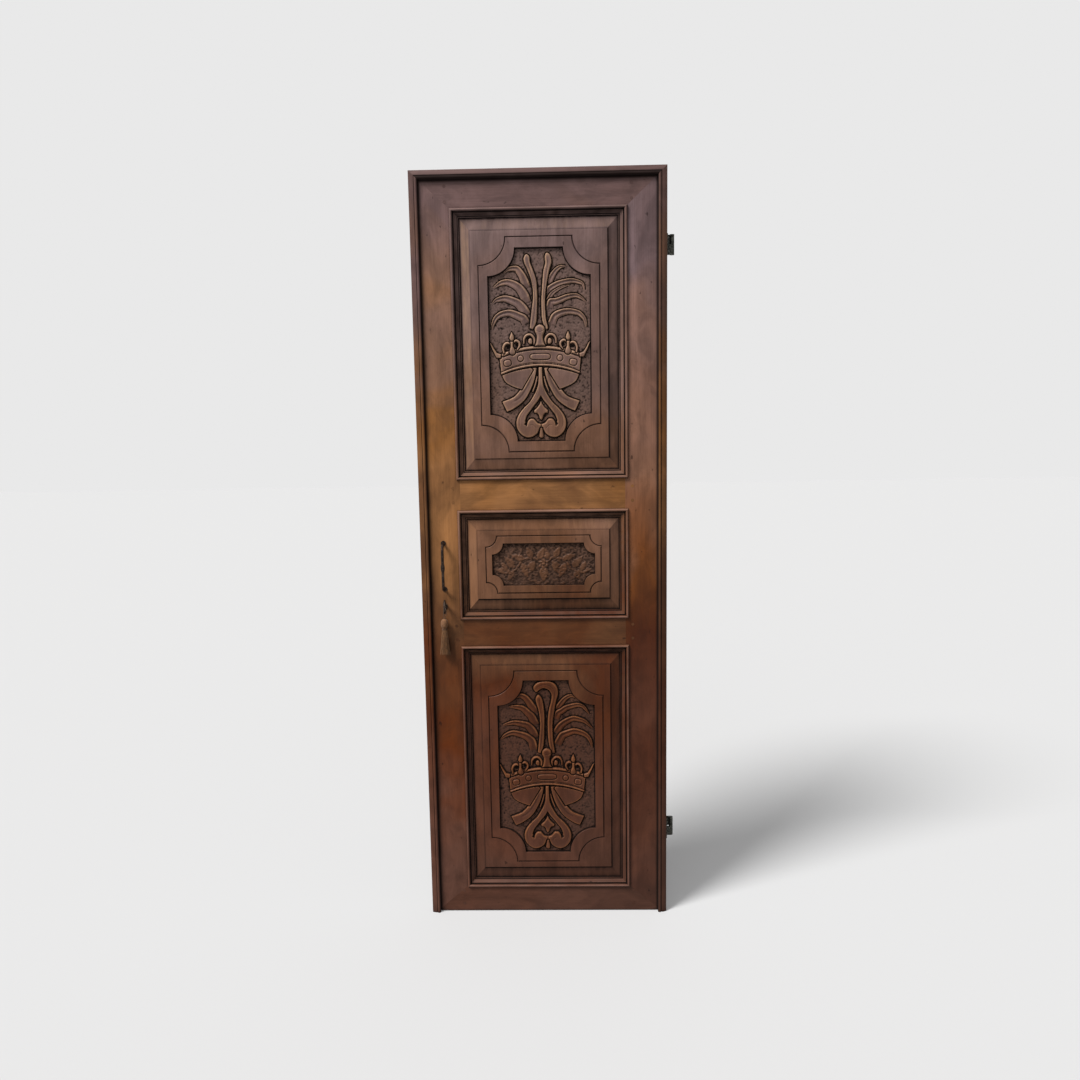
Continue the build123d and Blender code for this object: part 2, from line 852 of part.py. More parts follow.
def hinge_strap_level(name):
    """Lower and upper edge of a hinge eye."""
    z0 = hinge_centres[name] + hinge_rest_gap
    return z0, z0 + hinge_barrel_height


def hinge_nail_places():
    """Nails of both hinge plates, as (x, z)."""
    places = []
    for name in hinge_centres:
        z0, z1 = hinge_strap_level(name)
        near = leaf_half - hinge_nail_inset - hinge_nail_margin
        far = leaf_half - hinge_plate_inset + 2 * hinge_nail_inset
        places += [(near, z0 + hinge_nail_inset), (near, z1 - hinge_nail_inset), (far, (z0 + z1) / 2)]
    return places


def make_hinge_leaf(name):
    """The moving half: a plate on the leaf's back, rolled into an eye over the pin."""
    z0, z1 = hinge_strap_level(name)
    middle = (z0 + z1) / 2
    tip_x = leaf_half - hinge_plate_inset
    half = hinge_barrel_height / 2
    edges = Polyline((tip_x + half, z0), (hinge_x, z0), (hinge_x, z1), (tip_x + half, z1))
    edges += ThreePointArc((tip_x + half, z1), (tip_x, middle), (tip_x + half, z0))
    face = Plane.XZ * make_face(edges)
    plate = Pos(0, leaf_thickness, 0) * extrude(face, -hinge_plate_thickness)
    eye = rod(hinge_barrel_radius, (hinge_x, hinge_y, z0), (hinge_x, hinge_y, z1))
    bore = rod(hinge_pin_radius + hinge_pin_clearance, (hinge_x, hinge_y, z0), (hinge_x, hinge_y, z1))
    holes = []
    reach = nail_shank / 2 + shank_clearance
    for x, z in hinge_nail_places():
        if z0 < z < z1:
            holes.append(block(x - reach, x + reach, leaf_thickness,
                               leaf_thickness + hinge_plate_thickness, z - reach, z + reach))
    return plate + eye - bore - holes


def side_nail_places(name):
    """Nails of a pintle's side plate, as (y, z)."""
    outer_y = frame_back - side_plate_margin - side_plate_depth / 2 - side_nail_shift
    level = hinge_centres[name]
    rise = hinge_barrel_height - nail_head
    return [(outer_y, level + rise), (outer_y - side_nail_stagger, level), (outer_y, level - rise)]


def make_pintle(name):
    """The fixed half: a plate on the jamb's outer side, an arm, a barrel and the upright pin."""
    level = hinge_centres[name]
    z0 = level - hinge_barrel_height
    plate_y1 = frame_back - side_plate_margin
    plate = block(frame_half, frame_half + side_plate_thickness,
                  plate_y1 - side_plate_depth, plate_y1, z0, level + hinge_barrel_height)
    arm_y0 = hinge_y - hinge_barrel_radius
    arm = block(frame_half, hinge_x, arm_y0, arm_y0 + barrel_arm_thickness, z0, level)
    barrel = rod(hinge_barrel_radius, (hinge_x, hinge_y, z0), (hinge_x, hinge_y, level))
    pin_top = level + hinge_rest_gap + hinge_barrel_height
    pin = rod(hinge_pin_radius, (hinge_x, hinge_y, level), (hinge_x, hinge_y, pin_top))
    reach = nail_shank / 2 + shank_clearance
    holes = [block(frame_half, frame_half + side_plate_thickness,
                   y - reach, y + reach, z - reach, z + reach)
             for y, z in side_nail_places(name)]
    return plate + arm + barrel + pin - holes


def make_side_nails():
    """Nails of both pintles, driven into the jamb's outer side."""
    nails = []
    for name in hinge_centres:
        for y, z in side_nail_places(name):
            face_x = frame_half + side_plate_thickness
            nails.append(Pos(face_x, y, z) * Rot(0, 90, 0) * forged_nail(side_nail_length))
    return nails


def make_right_jamb():
    """The hinge jamb, holed for the pintle nails."""
    reach = nail_shank / 2 + shank_clearance
    depth = side_nail_length - side_plate_thickness + shank_clearance
    jamb = make_jamb(1)
    for name in hinge_centres:
        for y, z in side_nail_places(name):
            jamb -= block(frame_half - depth, frame_half, y - reach, y + reach, z - reach, z + reach)
    return jamb


# The pull


def make_pull():
    """A forged bow pull of eight-sided bar. Its ends pass through the stile, riveted behind."""
    reach = -pull_reach
    front = -rose_thickness
    path = FilletPolyline(
        (pull_x, front, pull_top), (pull_x, reach, pull_top),
        (pull_x, reach, pull_bottom), (pull_x, front, pull_bottom), radius=pull_bend,
    )
    section = RegularPolygon(pull_bar_radius, 8, major_radius=False)
    bar = sweep(Plane(origin=path @ 0, z_dir=path % 0) * section, path)
    middle = (pull_top + pull_bottom) / 2
    half = pull_knop_height / 2
    knop_rings = [
        flat_ring(radius, pull_x, reach, middle + rise, knop_sides)
        for radius, rise in ((pull_knop_end, -half), (pull_knop_radius, -half * knop_flat_share),
                             (pull_knop_radius, half * knop_flat_share), (pull_knop_end, half))
    ]
    pull = bar + faceted(knop_rings)
    rivet_y = leaf_thickness + washer_thickness
    for z in (pull_top, pull_bottom):
        pull += rod(pull_pin_radius, (pull_x, front, z), (pull_x, rivet_y, z))
        pull += rod(rivet_radius, (pull_x, rivet_y, z), (pull_x, rivet_y + rivet_height, z))
    return pull


def make_pull_roses():
    """Round plates under the pull's feet."""
    hole = Circle(pull_pin_radius + pull_pin_clearance)
    rose = extrude(Circle(rose_radius) - hole, rose_thickness)
    return [Pos(pull_x, 0, z) * Rot(90, 0, 0) * rose for z in (pull_top, pull_bottom)]


def make_pull_washers():
    """Square washers under the rivets."""
    face = Rectangle(washer_side, washer_side) - Circle(pull_pin_radius + pull_pin_clearance)
    washer = extrude(face, washer_thickness)
    return [Pos(pull_x, leaf_thickness, z) * Rot(-90, 0, 0) * washer for z in (pull_top, pull_bottom)]


# Key, lock and keeper


def make_key():
    """The key, standing in the lock with its bit down and its bow upright."""
    bow_y = -key_neck - key_collar_length
    back = case_back + key_clearance
    key = rod(key_radius, (key_x, bow_y - bow_sink, key_z), (key_x, back, key_z))
    key += rod(key_collar_radius, (key_x, bow_y, key_z), (key_x, -key_neck, key_z))
    ring = Ellipse(bow_reach / 2, bow_height / 2) - Ellipse(bow_reach / 2 - bow_ring, bow_height / 2 - bow_ring)
    bow = extrude(Plane.YZ * ring, bow_thickness / 2, both=True)
    key += Pos(key_x, bow_y - bow_reach / 2 + bow_sink, key_z) * bow
    bit_y0 = bolt_y0 + (bolt_depth - bit_width) / 2
    bit = block(key_x - bit_thickness / 2, key_x + bit_thickness / 2,
                bit_y0, bit_y0 + bit_width, key_z - bit_radius, key_z)
    ward = block(key_x - bit_thickness, key_x + bit_thickness,
                 bit_y0 + bit_width * ward_span[0], bit_y0 + bit_width * ward_span[1],
                 key_z - bit_radius, key_z - bit_radius * (1 - ward_depth_share))
    return key + bit - ward


def lock_nail_places():
    """The lock plate's four fixings, as (x, z): two below the case and two beside it."""
    left, right = lock_left + lock_nail_inset, lock_right - lock_nail_inset
    low, high = lock_foot + lock_nail_inset, lock_top - lock_nail_inset
    return [(left, low), (right, low), (right, (low + high) / 2), (right, high)]


def make_lock_plate():
    """The plate between the lock and the wood, with a keyhole of its own."""
    plate = block(lock_left, lock_right, leaf_thickness, lock_back, lock_foot, lock_top)
    reach = nail_shank / 2 + shank_clearance
    holes = [block(x - reach, x + reach, leaf_thickness, lock_back, z - reach, z + reach)
             for x, z in lock_nail_places()]
    return plate - keyhole(leaf_thickness, lock_back) - holes


def make_lock_case():
    """The case, an open box whose rim stands on the plate. The bolt leaves by its left end."""
    wall = lock_wall
    case = block(case_left, case_right, lock_back, case_back, case_foot, case_top)
    case -= block(case_left + wall, case_right - wall, lock_back, case_back - wall,
                  case_foot + wall, case_top - wall)
    case -= block(case_left, case_left + wall, bolt_y0 - bolt_gap, bolt_y1 + bolt_gap,
                  bolt_z0 - bolt_gap, bolt_z1 + bolt_gap)
    hole = rod(key_radius + key_clearance, (key_x, case_back - wall, key_z), (key_x, case_back, key_z))
    return case - hole


def bit_path():
    """Reach of the key's bit under the bolt, in x, seen from the moving bolt."""
    spread = math.acos(bolt_rise / bit_radius)
    half_chord = bit_radius * math.sin(spread)
    shift_in = bolt_throw * (math.pi - spread) / (2 * math.pi)
    shift_out = bolt_throw * (math.pi + spread) / (2 * math.pi)
    return -half_chord + shift_out, half_chord + shift_in


def make_bolt():
    """The sliding bolt, drawn back, with the notch that the key's bit works in."""
    low, high = bit_path()
    reach = bit_thickness / 2 + notch_clearance
    notch_top = key_z + bit_radius + notch_clearance
    tail_x = key_x + high + reach + bolt_tail
    bolt = block(case_left - bolt_nose, tail_x, bolt_y0, bolt_y1, bolt_z0, bolt_z1)
    return bolt - block(key_x + low - reach, key_x + high + reach, bolt_y0, bolt_y1, bolt_z0, notch_top)


def make_bolt_spring():
    """A bent strip that presses the bolt down in its way."""
    top = case_top - lock_wall
    low = bolt_z1 + spring_gap
    left = case_left + lock_wall + spring_inset_left
    right = case_right - lock_wall - spring_inset_right
    middle = (left + right) / 2
    width = spring_width / 2
    centre_y = (bolt_y0 + bolt_y1) / 2
    outer = ThreePointArc((left, top), (middle, low), (right, top))
    inner = ThreePointArc((right - spring_thickness * 2, top), (middle, low + spring_thickness),
                          (left + spring_thickness * 2, top))
    edges = outer + Line(outer @ 1, inner @ 0) + inner + Line(inner @ 1, outer @ 0)
    return Pos(0, centre_y - width, 0) * extrude(Plane.XZ * make_face(edges), -spring_width)


def keeper_nail_places():
    """The keeper's two fixings, as (x, z)."""
    x = -frame_half + cheek_width / 2
    bolt_middle = (bolt_z0 + bolt_z1) / 2
    return [(x, bolt_middle + side * keeper_nail_pitch / 2) for side in (-1, 1)]


def make_keeper():
    """A staple on the jamb's back, open towards the lock, that holds the thrown bolt."""
    middle = (bolt_z0 + bolt_z1) / 2
    half = keeper_height / 2
    left, right = -frame_half, -cheek_x
    room = bolt_height / 2 + keeper_play
    back = bolt_y1 + keeper_play
    plate_back = frame_back + keeper_plate_thickness
    keeper = block(left, right, frame_back, plate_back, middle - half, middle + half)
    keeper += block(left, right, plate_back, back + keeper_wall,
                    middle - room - keeper_wall, middle + room + keeper_wall)
    keeper -= block(left + keeper_wall, right, plate_back, back, middle - room, middle + room)
    reach = nail_shank / 2 + shank_clearance
    holes = [block(x - reach, x + reach, frame_back, plate_back, z - reach, z + reach)
             for x, z in keeper_nail_places()]
    return keeper - holes


def make_left_jamb():
    """The lock jamb, holed for the keeper's nails."""
    holes = [nail_hole(x, z, frame_back, keeper_plate_thickness) for x, z in keeper_nail_places()]
    return make_jamb(-1) - holes


# The tassel


def loop_path():
    """The cord loop's route: up from the tassel, over the key's neck and down again."""
    over_z = key_z + key_radius + cord_radius + cord_seat_gap
    over_y = -key_neck + 2.5 * cord_radius
    left, right = key_x - cord_half_width, key_x + cord_half_width
    return [
        (tassel_x - 1.6, tassel_y, tassel_top),
        (tassel_x - 2.1, tassel_y + 3.0, tassel_top + 22),
        (left, over_y, over_z),
        (right, over_y, over_z),
        (tassel_x + 8.2, tassel_y + 3.0, tassel_top + 22),
        (tassel_x + 1.6, tassel_y, tassel_top),
    ]


def bend_radii(points):
    """A radius for each inner point: 0.45 of the shorter run, over the tangent of half the turn."""
    radii = []
    for before, at, after in zip(points, points[1:], points[2:]):
        run_in, run_out = Vector(*at) - Vector(*before), Vector(*after) - Vector(*at)
        half_turn = math.radians(run_in.get_angle(run_out)) / 2
        radii.append(0.45 * min(run_in.length, run_out.length) / math.tan(half_turn))
    return radii


def make_loop():
    """The cord loop as a plain round tube."""
    points = loop_path()
    radii = bend_radii(points)
    path = FilletPolyline(*points, radius=radii)
    tube = sweep(Plane(origin=path @ 0, z_dir=path % 0) * Circle(cord_radius), path)
    section = math.pi * cord_radius ** 2
    print("loop length", round(path.length, 1), "volume", round(tube.volume, 1),
          "section times length", round(section * path.length, 1))
    print("loop radii", [round(radius, 1) for radius in radii])
    return tube


def tassel_levels():
    """Heights of the tassel's joints, from the head's top down to the skirt's hem."""
    head_top = tassel_top - tassel_joint_gap
    head_foot = head_top - tassel_head_height
    band_foot = head_foot - tassel_band_height
    return head_top, head_foot, band_foot, band_foot - tassel_skirt_length


def make_tassel_head():
    """The round covered knot."""
    top, foot, _, _ = tassel_levels()
    height = top - foot
    profile = [(0.42, 0), (0.78, 0.12), (0.97, 0.33), (1.0, 0.5), (0.93, 0.72), (0.7, 0.92), (0.55, 1)]
    return faceted([
        flat_ring(share * tassel_head_radius, tassel_x, tassel_y, top - drop * height, head_sides)
        for share, drop in profile
    ])


def make_tassel_band():
    """The binding round the neck."""
    _, top, foot, _ = tassel_levels()
    return rod(tassel_band_radius, (tassel_x, tassel_y, foot), (tassel_x, tassel_y, top))


def make_tassel_skirt():
    """The hanging threads, as one bell with a ridge for each group of threads."""
    _, _, top, hem = tassel_levels()
    waist = hem + tassel_skirt_length * skirt_waist_level
    waist_radius = tassel_skirt_radius * skirt_waist_share
    levels = ((tassel_skirt_top, top), (waist_radius, waist), (tassel_skirt_radius, hem))
    return faceted([
        flat_ring(radius, tassel_x, tassel_y, z, 2 * tassel_strands, strand_dip) for radius, z in levels
    ])


def save_all():
    """Builds and writes every piece."""
    save("frame_jamb_left", make_left_jamb())
    save("frame_jamb_right", make_right_jamb())
    save("frame_head", make_head())
    save("stile_left", make_left_stile())
    save("stile_right", make_right_stile())
    for name in rail_levels():
        save(name, make_rail(name))
    save("joint_pegs", Compound(children=make_pegs()))
    for name, (z0, z1) in openings.items():
        save(f"panel_{name}", make_panel(name))
        for place, length in panel_mouldings(z0, z1).items():
            save(f"moulding_{name}_{place}", length)
    for name in hinge_centres:
        save(f"hinge_leaf_{name}", make_hinge_leaf(name))
        save(f"pintle_{name}", make_pintle(name))
    back = leaf_thickness + hinge_plate_thickness
    nails = [back_nail(x, back, z, nail_length) for x, z in hinge_nail_places()]
    save("hinge_nails", Compound(children=nails))
    save("pintle_nails", Compound(children=make_side_nails()))
    save("pull_handle", make_pull())
    save("pull_roses", Compound(children=make_pull_roses()))
    save("pull_washers", Compound(children=make_pull_washers()))
    save("key", make_key())
    save("lock_plate", make_lock_plate())
    save("lock_case", make_lock_case())
    save("lock_bolt", make_bolt())
    save("bolt_spring", make_bolt_spring())
    nails = [back_nail(x, lock_back, z, nail_length) for x, z in lock_nail_places()]
    save("lock_nails", Compound(children=nails))
    save("keeper", make_keeper())
    back = frame_back + keeper_plate_thickness
    nails = [back_nail(x, back, z, nail_length) for x, z in keeper_nail_places()]
    save("keeper_nails", Compound(children=nails))
    save("tassel_loop", make_loop())
    save("tassel_head", make_tassel_head())
    save("tassel_band", make_tassel_band())
    save("tassel_skirt", make_tassel_skirt())


os.makedirs("parts", exist_ok=True)
save_all()
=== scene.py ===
# %% [markdown]
# A tall carved walnut door in its own thin frame.
# The measured solids come first: every board, moulding, hinge and lock piece has its real
# size and place in them. This script dresses them: it carves the panels finely, runs the
# mouldings, winds the tassel, gives each piece its finish, and sets up the room that the
# door is looked at in.

# %% Loading the measured door
import bpy
import math
import random
import numpy as np
from mathutils import Matrix, Vector
from mathutils.geometry import tessellate_polygon


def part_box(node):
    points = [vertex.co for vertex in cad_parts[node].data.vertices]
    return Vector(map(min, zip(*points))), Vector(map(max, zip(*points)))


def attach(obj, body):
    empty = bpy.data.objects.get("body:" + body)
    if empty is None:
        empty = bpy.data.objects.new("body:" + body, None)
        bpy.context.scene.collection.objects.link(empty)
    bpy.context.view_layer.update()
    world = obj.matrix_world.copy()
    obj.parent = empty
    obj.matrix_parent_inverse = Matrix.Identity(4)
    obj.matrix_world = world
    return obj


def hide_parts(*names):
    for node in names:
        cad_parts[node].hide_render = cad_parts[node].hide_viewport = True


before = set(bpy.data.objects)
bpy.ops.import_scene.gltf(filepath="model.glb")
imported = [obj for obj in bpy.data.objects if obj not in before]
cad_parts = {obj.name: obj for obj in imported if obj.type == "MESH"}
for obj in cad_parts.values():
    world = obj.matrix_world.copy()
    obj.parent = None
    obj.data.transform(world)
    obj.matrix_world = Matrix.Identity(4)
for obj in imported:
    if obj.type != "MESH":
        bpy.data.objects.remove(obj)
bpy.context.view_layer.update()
MM = 0.001
scene = bpy.context.scene
print("pieces in the measured door:", len(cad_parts))


# %% [markdown]
# The eye. The door was looked at from a little to its right, from head height, with the
# view tipped down by about eight degrees. A wide lens at under three metres gives the same
# narrowing towards the floor. The camera could be aimed at a point, but a place and three
# turns hold the view exactly.

# %% The camera
EYE_PLACE = Vector((0.06504, -2.77283, 1.51628))
EYE_PITCH = 0.145455875
EYE_YAW = -0.0266897932
EYE_ROLL = -0.0168454484
EYE_LENS = 33.3333
EYE_SENSOR = 36.0


def aim_matrix(place, pitch, yaw, roll):
    """A camera's place and turn, from its pitch down, yaw to the right and roll."""
    ahead = Vector((math.sin(yaw) * math.cos(pitch), math.cos(yaw) * math.cos(pitch), -math.sin(pitch)))
    level = Vector((math.cos(yaw), -math.sin(yaw), 0.0))
    up = level.cross(ahead)
    right = level * math.cos(roll) + up * math.sin(roll)
    top = -level * math.sin(roll) + up * math.cos(roll)
    turn = Matrix((right, top, -ahead)).transposed().to_4x4()
    return Matrix.Translation(place) @ turn


eye = bpy.data.objects.new("eye", bpy.data.cameras.new("eye"))
scene.collection.objects.link(eye)
eye.data.lens = EYE_LENS
eye.data.sensor_width = EYE_SENSOR
eye.matrix_world = aim_matrix(EYE_PLACE, EYE_PITCH, EYE_YAW, EYE_ROLL)
scene.camera = eye
print("camera at", [round(c, 3) for c in EYE_PLACE])


# %% [markdown]
# Some helpers that the later cells use for their pieces. One makes a mesh object from plain
# lists and makes it ride on a part of the door. Another keeps a number on each point of a
# mesh, so that a material can tell a hollow from an edge.

# %% Helpers for pieces
def new_piece(name, points, faces, body, smooth_angle=0.6, flat_faces=0):
    """A mesh piece riding on a body of the door. Its first faces may stay flat."""
    mesh = bpy.data.meshes.new(name)
    mesh.from_pydata(points, [], faces)
    mesh.update()
    smooth = [index >= flat_faces for index in range(len(mesh.polygons))]
    mesh.polygons.foreach_set("use_smooth", smooth)
    mesh.set_sharp_from_angle(angle=smooth_angle)
    piece = bpy.data.objects.new(name, mesh)
    scene.collection.objects.link(piece)
    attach(piece, body)
    return piece


def store_number(piece, name, values):
    """Keeps one number from 0 to 1 for each point, for a material to read."""
    attribute = piece.data.attributes.new(name, "FLOAT", "POINT")
    attribute.data.foreach_set("value", np.clip(np.array(values, np.float32), 0, 1))


def wear(piece, material):
    """Gives a piece one finish all over."""
    piece.data.materials.clear()
    piece.data.materials.append(material)


print("helpers for pieces are ready")


# %% [markdown]
# A finish is a small web of nodes. Each node takes several lines to make and join by hand,
# so this class writes a node as one short call that gives its output. A pattern can then be
# read like a recipe: noise, stretched along a board, mapped to a share, blended in.

# %% Helpers for finishes
class Finish:
    """A material with its nodes, written as short calls."""

    def __init__(self, name, roughness, metallic=0.0):
        self.material = bpy.data.materials.new(name)
        self.material.use_nodes = True
        self.nodes = self.material.node_tree.nodes
        self.links = self.material.node_tree.links
        self.shader = self.nodes["Principled BSDF"]
        self.shader.inputs["Roughness"].default_value = roughness
        self.shader.inputs["Metallic"].default_value = metallic
        self.place = self.nodes.new("ShaderNodeTexCoord").outputs["Object"]

    def join(self, source, socket):
        """Links a node's output to a socket, or sets a plain value on it."""
        if hasattr(source, "is_output"):
            self.links.new(source, socket)
        else:
            socket.default_value = source

    def stretched(self, scale, shift=(0, 0, 0)):
        """The place on the object, stretched by a scale for each axis."""
        node = self.nodes.new("ShaderNodeMapping")
        node.inputs["Scale"].default_value = scale
        node.inputs["Location"].default_value = shift
        self.links.new(self.place, node.inputs["Vector"])
        return node.outputs["Vector"]

    def noise(self, place, scale, detail=4.0, rough=0.55, bend=0.0):
        node = self.nodes.new("ShaderNodeTexNoise")
        self.links.new(place, node.inputs["Vector"])
        node.inputs["Scale"].default_value = scale
        node.inputs["Detail"].default_value = detail
        node.inputs["Roughness"].default_value = rough
        node.inputs["Distortion"].default_value = bend
        return node.outputs["Fac"]

    def cells(self, place, scale):
        node = self.nodes.new("ShaderNodeTexVoronoi")
        self.links.new(place, node.inputs["Vector"])
        node.inputs["Scale"].default_value = scale
        return node.outputs["Distance"]

    def span(self, value, old, new=(0.0, 1.0)):
        """A value mapped smoothly from one span to another."""
        node = self.nodes.new("ShaderNodeMapRange")
        node.interpolation_type = "SMOOTHSTEP"
        self.join(value, node.inputs["Value"])
        for key, amount in zip(("From Min", "From Max", "To Min", "To Max"), (*old, *new)):
            node.inputs[key].default_value = amount
        return node.outputs["Result"]

    def maths(self, operation, first, second):
        node = self.nodes.new("ShaderNodeMath")
        node.operation = operation
        self.join(first, node.inputs[0])
        self.join(second, node.inputs[1])
        return node.outputs[0]

    def blend(self, share, first, second, kind="MIX"):
        """A mix of two colours, by a share from 0 to 1."""
        node = self.nodes.new("ShaderNodeMix")
        node.data_type = "RGBA"
        node.blend_type = kind
        self.join(share, node.inputs[0])
        self.join(first, node.inputs[6])
        self.join(second, node.inputs[7])
        return node.outputs[2]

    def openness(self, reach):
        """How open each place is: 0 deep in a corner, 1 on an open face."""
        node = self.nodes.new("ShaderNodeAmbientOcclusion")
        node.samples = 8
        node.inputs["Distance"].default_value = reach
        return node.outputs["AO"]

    def ladder(self, value, steps):
        """Colours laid one above another, from (place, colour) pairs between 0 and 1."""
        node = self.nodes.new("ShaderNodeValToRGB")
        self.links.new(value, node.inputs["Fac"])
        stops = node.color_ramp.elements
        for _ in range(len(steps) - 2):
            stops.new(0.5)
        for stop, (place, colour) in zip(stops, steps):
            stop.position = place
            stop.color = colour
        return node.outputs["Color"]

    def axis(self, letter):
        node = self.nodes.new("ShaderNodeSeparateXYZ")
        self.links.new(self.place, node.inputs[0])
        return node.outputs[letter]

    def painted(self, name):
        """A number stored on the mesh's points."""
        node = self.nodes.new("ShaderNodeAttribute")
        node.attribute_name = name
        return node.outputs["Fac"]

    def bump(self, *layers):
        """Bump from (height, distance in metres, strength), one over another."""
        normal = None
        for height, distance, strength in layers:
            node = self.nodes.new("ShaderNodeBump")
            node.inputs["Distance"].default_value = distance
            node.inputs["Strength"].default_value = strength
            self.links.new(height, node.inputs["Height"])
            if normal is not None:
                self.links.new(normal, node.inputs["Normal"])
            normal = node.outputs["Normal"]
        self.links.new(normal, self.shader.inputs["Normal"])

    def colour(self, value):
        self.join(value, self.shader.inputs["Base Color"])

    def roughness(self, value):
        self.join(value, self.shader.inputs["Roughness"])


def tone(red, green, blue):
    """A colour as it is written on a screen, from 0 to 255, made linear for the shader."""
    def line(value):
        value = value / 255.0
        return value / 12.92 if value <= 0.04045 else ((value + 0.055) / 1.055) ** 2.4
    return (line(red), line(green), line(blue), 1.0)


print("helpers for finishes are ready")


# %% [markdown]
# The wood is old stained walnut. Broad tones lie over the whole door, and some of them are
# painted light: the mauve grey at the top is a painted reflection of the light above, the
# gold in the middle is a painted sheen over the rub of hands and cloths, and below is a dark
# red brown. A ladder of colours up the door's height gives them. The stile on the hinge side
# gets painted shade, and the panels are greyer, so each of these has a ladder of its own.

# %% Tones of the walnut
def ladder_of(*steps):
    """Colour steps from (share of the door's height, red, green, blue)."""
    return [(place, tone(*colour)) for place, *colour in steps]


# Painted light in these ladders: the mauve grey top stops are a painted reflection, the gold stops near 0.6 a
# painted sheen, and the shaded ladder for the hinge-side stile holds painted shade.
AGEING_AND_PAINTED_SHEEN = ladder_of((0.0, 89, 59, 48), (0.16, 96, 59, 44), (0.31, 87, 39, 8), (0.485, 100, 65, 40),
                   (0.6, 156, 108, 66), (0.69, 145, 96, 50), (0.81, 130, 96, 78), (0.94, 112, 88, 86))
SHADED_AGEING = ladder_of((0.0, 74, 47, 38), (0.16, 94, 56, 41), (0.30, 72, 30, 8), (0.43, 120, 68, 30),
                          (0.55, 134, 95, 74), (0.69, 136, 100, 86), (0.81, 142, 109, 99),
                          (0.94, 120, 99, 101))
PANEL_AGEING_AND_PAINTED_SHEEN = ladder_of((0.0, 84, 54, 42), (0.16, 84, 50, 36), (0.36, 78, 37, 14), (0.47, 102, 68, 46),
                         (0.62, 120, 86, 68), (0.78, 119, 92, 83), (0.93, 116, 94, 91))
# Lighter tones on proud places: rubbed wear with a painted highlight.
RUBBED_AND_HIGHLIT_WOOD = ladder_of((0.4, 140, 90, 56), (0.85, 190, 152, 120))
RUBBED_AND_HIGHLIT_BEAD = ladder_of((0.15, 134, 100, 88), (0.85, 150, 114, 98))
# A grey painted shade for the low carved ground.
LOW_GROUND_SHADE_TONES = ladder_of((0.4, 68, 50, 42), (0.85, 98, 79, 71))
GRAIN_AND_SHADE_BROWN = tone(52, 30, 20)
DARK_GRIME_AND_SHADE = tone(16, 9, 7)
DOOR_HEIGHT = 2.11
print("tones up a stile:", len(AGEING_AND_PAINTED_SHEEN), "and up a panel:", len(PANEL_AGEING_AND_PAINTED_SHEEN))


# %% [markdown]
# Over the broad tones lie the figure, the grain lines and the pores of each board. They are
# one kind of noise, stretched more and more along the board's own length, so a rail's grain
# runs across and a stile's runs up. A picture of wood would do it too, but noise needs no
# file and never repeats from board to board.

# %% Grain
ACROSS_GRAIN = {"X": (1.0, 6.0, 9.0), "Z": (9.0, 6.0, 1.0)}


def board_marks(finish, along, shift):
    """The marks of one board, as shares from 0 to 1. The shift gives each board its own."""
    stretch = ACROSS_GRAIN[along]

    def pulled(power, place=(shift,) * 3):
        return finish.stretched([s ** power for s in stretch], place)

    return {
        "figure": finish.noise(pulled(1, (shift, shift * 0.7, shift * 1.3)), 1.4, 5.0, 0.6, bend=0.8),
        "lines": finish.noise(pulled(2), 6.0, 5.0, 0.6, bend=0.3),
        "pores": finish.noise(pulled(2.4), 11.0, 3.0, 0.7),
        "drift": finish.noise(pulled(0, (shift + 3.1, 0, 1.7)), 2.6, 3.0, 0.55, bend=0.5),
        "patches": finish.noise(pulled(0.4, (shift, 7.7, 2.2)), 9.0, 5.0, 0.62, bend=0.6),
        "dents": finish.noise(pulled(0.3, (shift, 3.3, 5.1)), 42.0, 2.0, 0.5),
    }


def aged_body(finish, marks, level, ageing_and_sheen, depth):
    """The board's colour without dirt: its ageing with painted sheen, a painted shade on the hinge side, its
    figure and grain, and its patches.
    """
    body = finish.ladder(level, ageing_and_sheen)
    # Painted shade: the right half of the door, on the hinge side, is darkened, most of all low down.
    hinge_side_shade = finish.span(finish.axis("X"), (0.05, 0.33), (0.0, 0.34))
    hinge_side_shade = finish.maths("MULTIPLY", hinge_side_shade, finish.span(finish.axis("Z"), (0.7, 1.5), (1.0, 0.35)))
    body = finish.blend(hinge_side_shade, body, GRAIN_AND_SHADE_BROWN)
    body = finish.blend(finish.span(marks["figure"], (0.32, 0.62), (0.30, 0.0)), body, GRAIN_AND_SHADE_BROWN)
    body = finish.blend(finish.span(marks["lines"], (0.34, 0.56), (0.16, 0.0)), body, GRAIN_AND_SHADE_BROWN)
    body = finish.blend(depth, body, GRAIN_AND_SHADE_BROWN)
    return finish.blend(1.0, body, finish.span(marks["patches"], (0.32, 0.68), (0.76, 1.20)), "MULTIPLY")


print("grain runs along", " or ".join(ACROSS_GRAIN))


# %% [markdown]
# Last come the wax and dust of many years, and painted shade with them. Dirt darkens the
# dents; dirt and painted shade darken every corner and the carving's cuts, while the high
# edges get rubbed wear with a painted highlight. Corners are found with the ambient
# occlusion node, which measures how open a place is. On carved pieces a number on each point
# says where it is hollow or proud, because the carving's own heights tell that better than a
# pattern could.

# %% Walnut
GRIME_AND_SHADE_REACH = 0.016


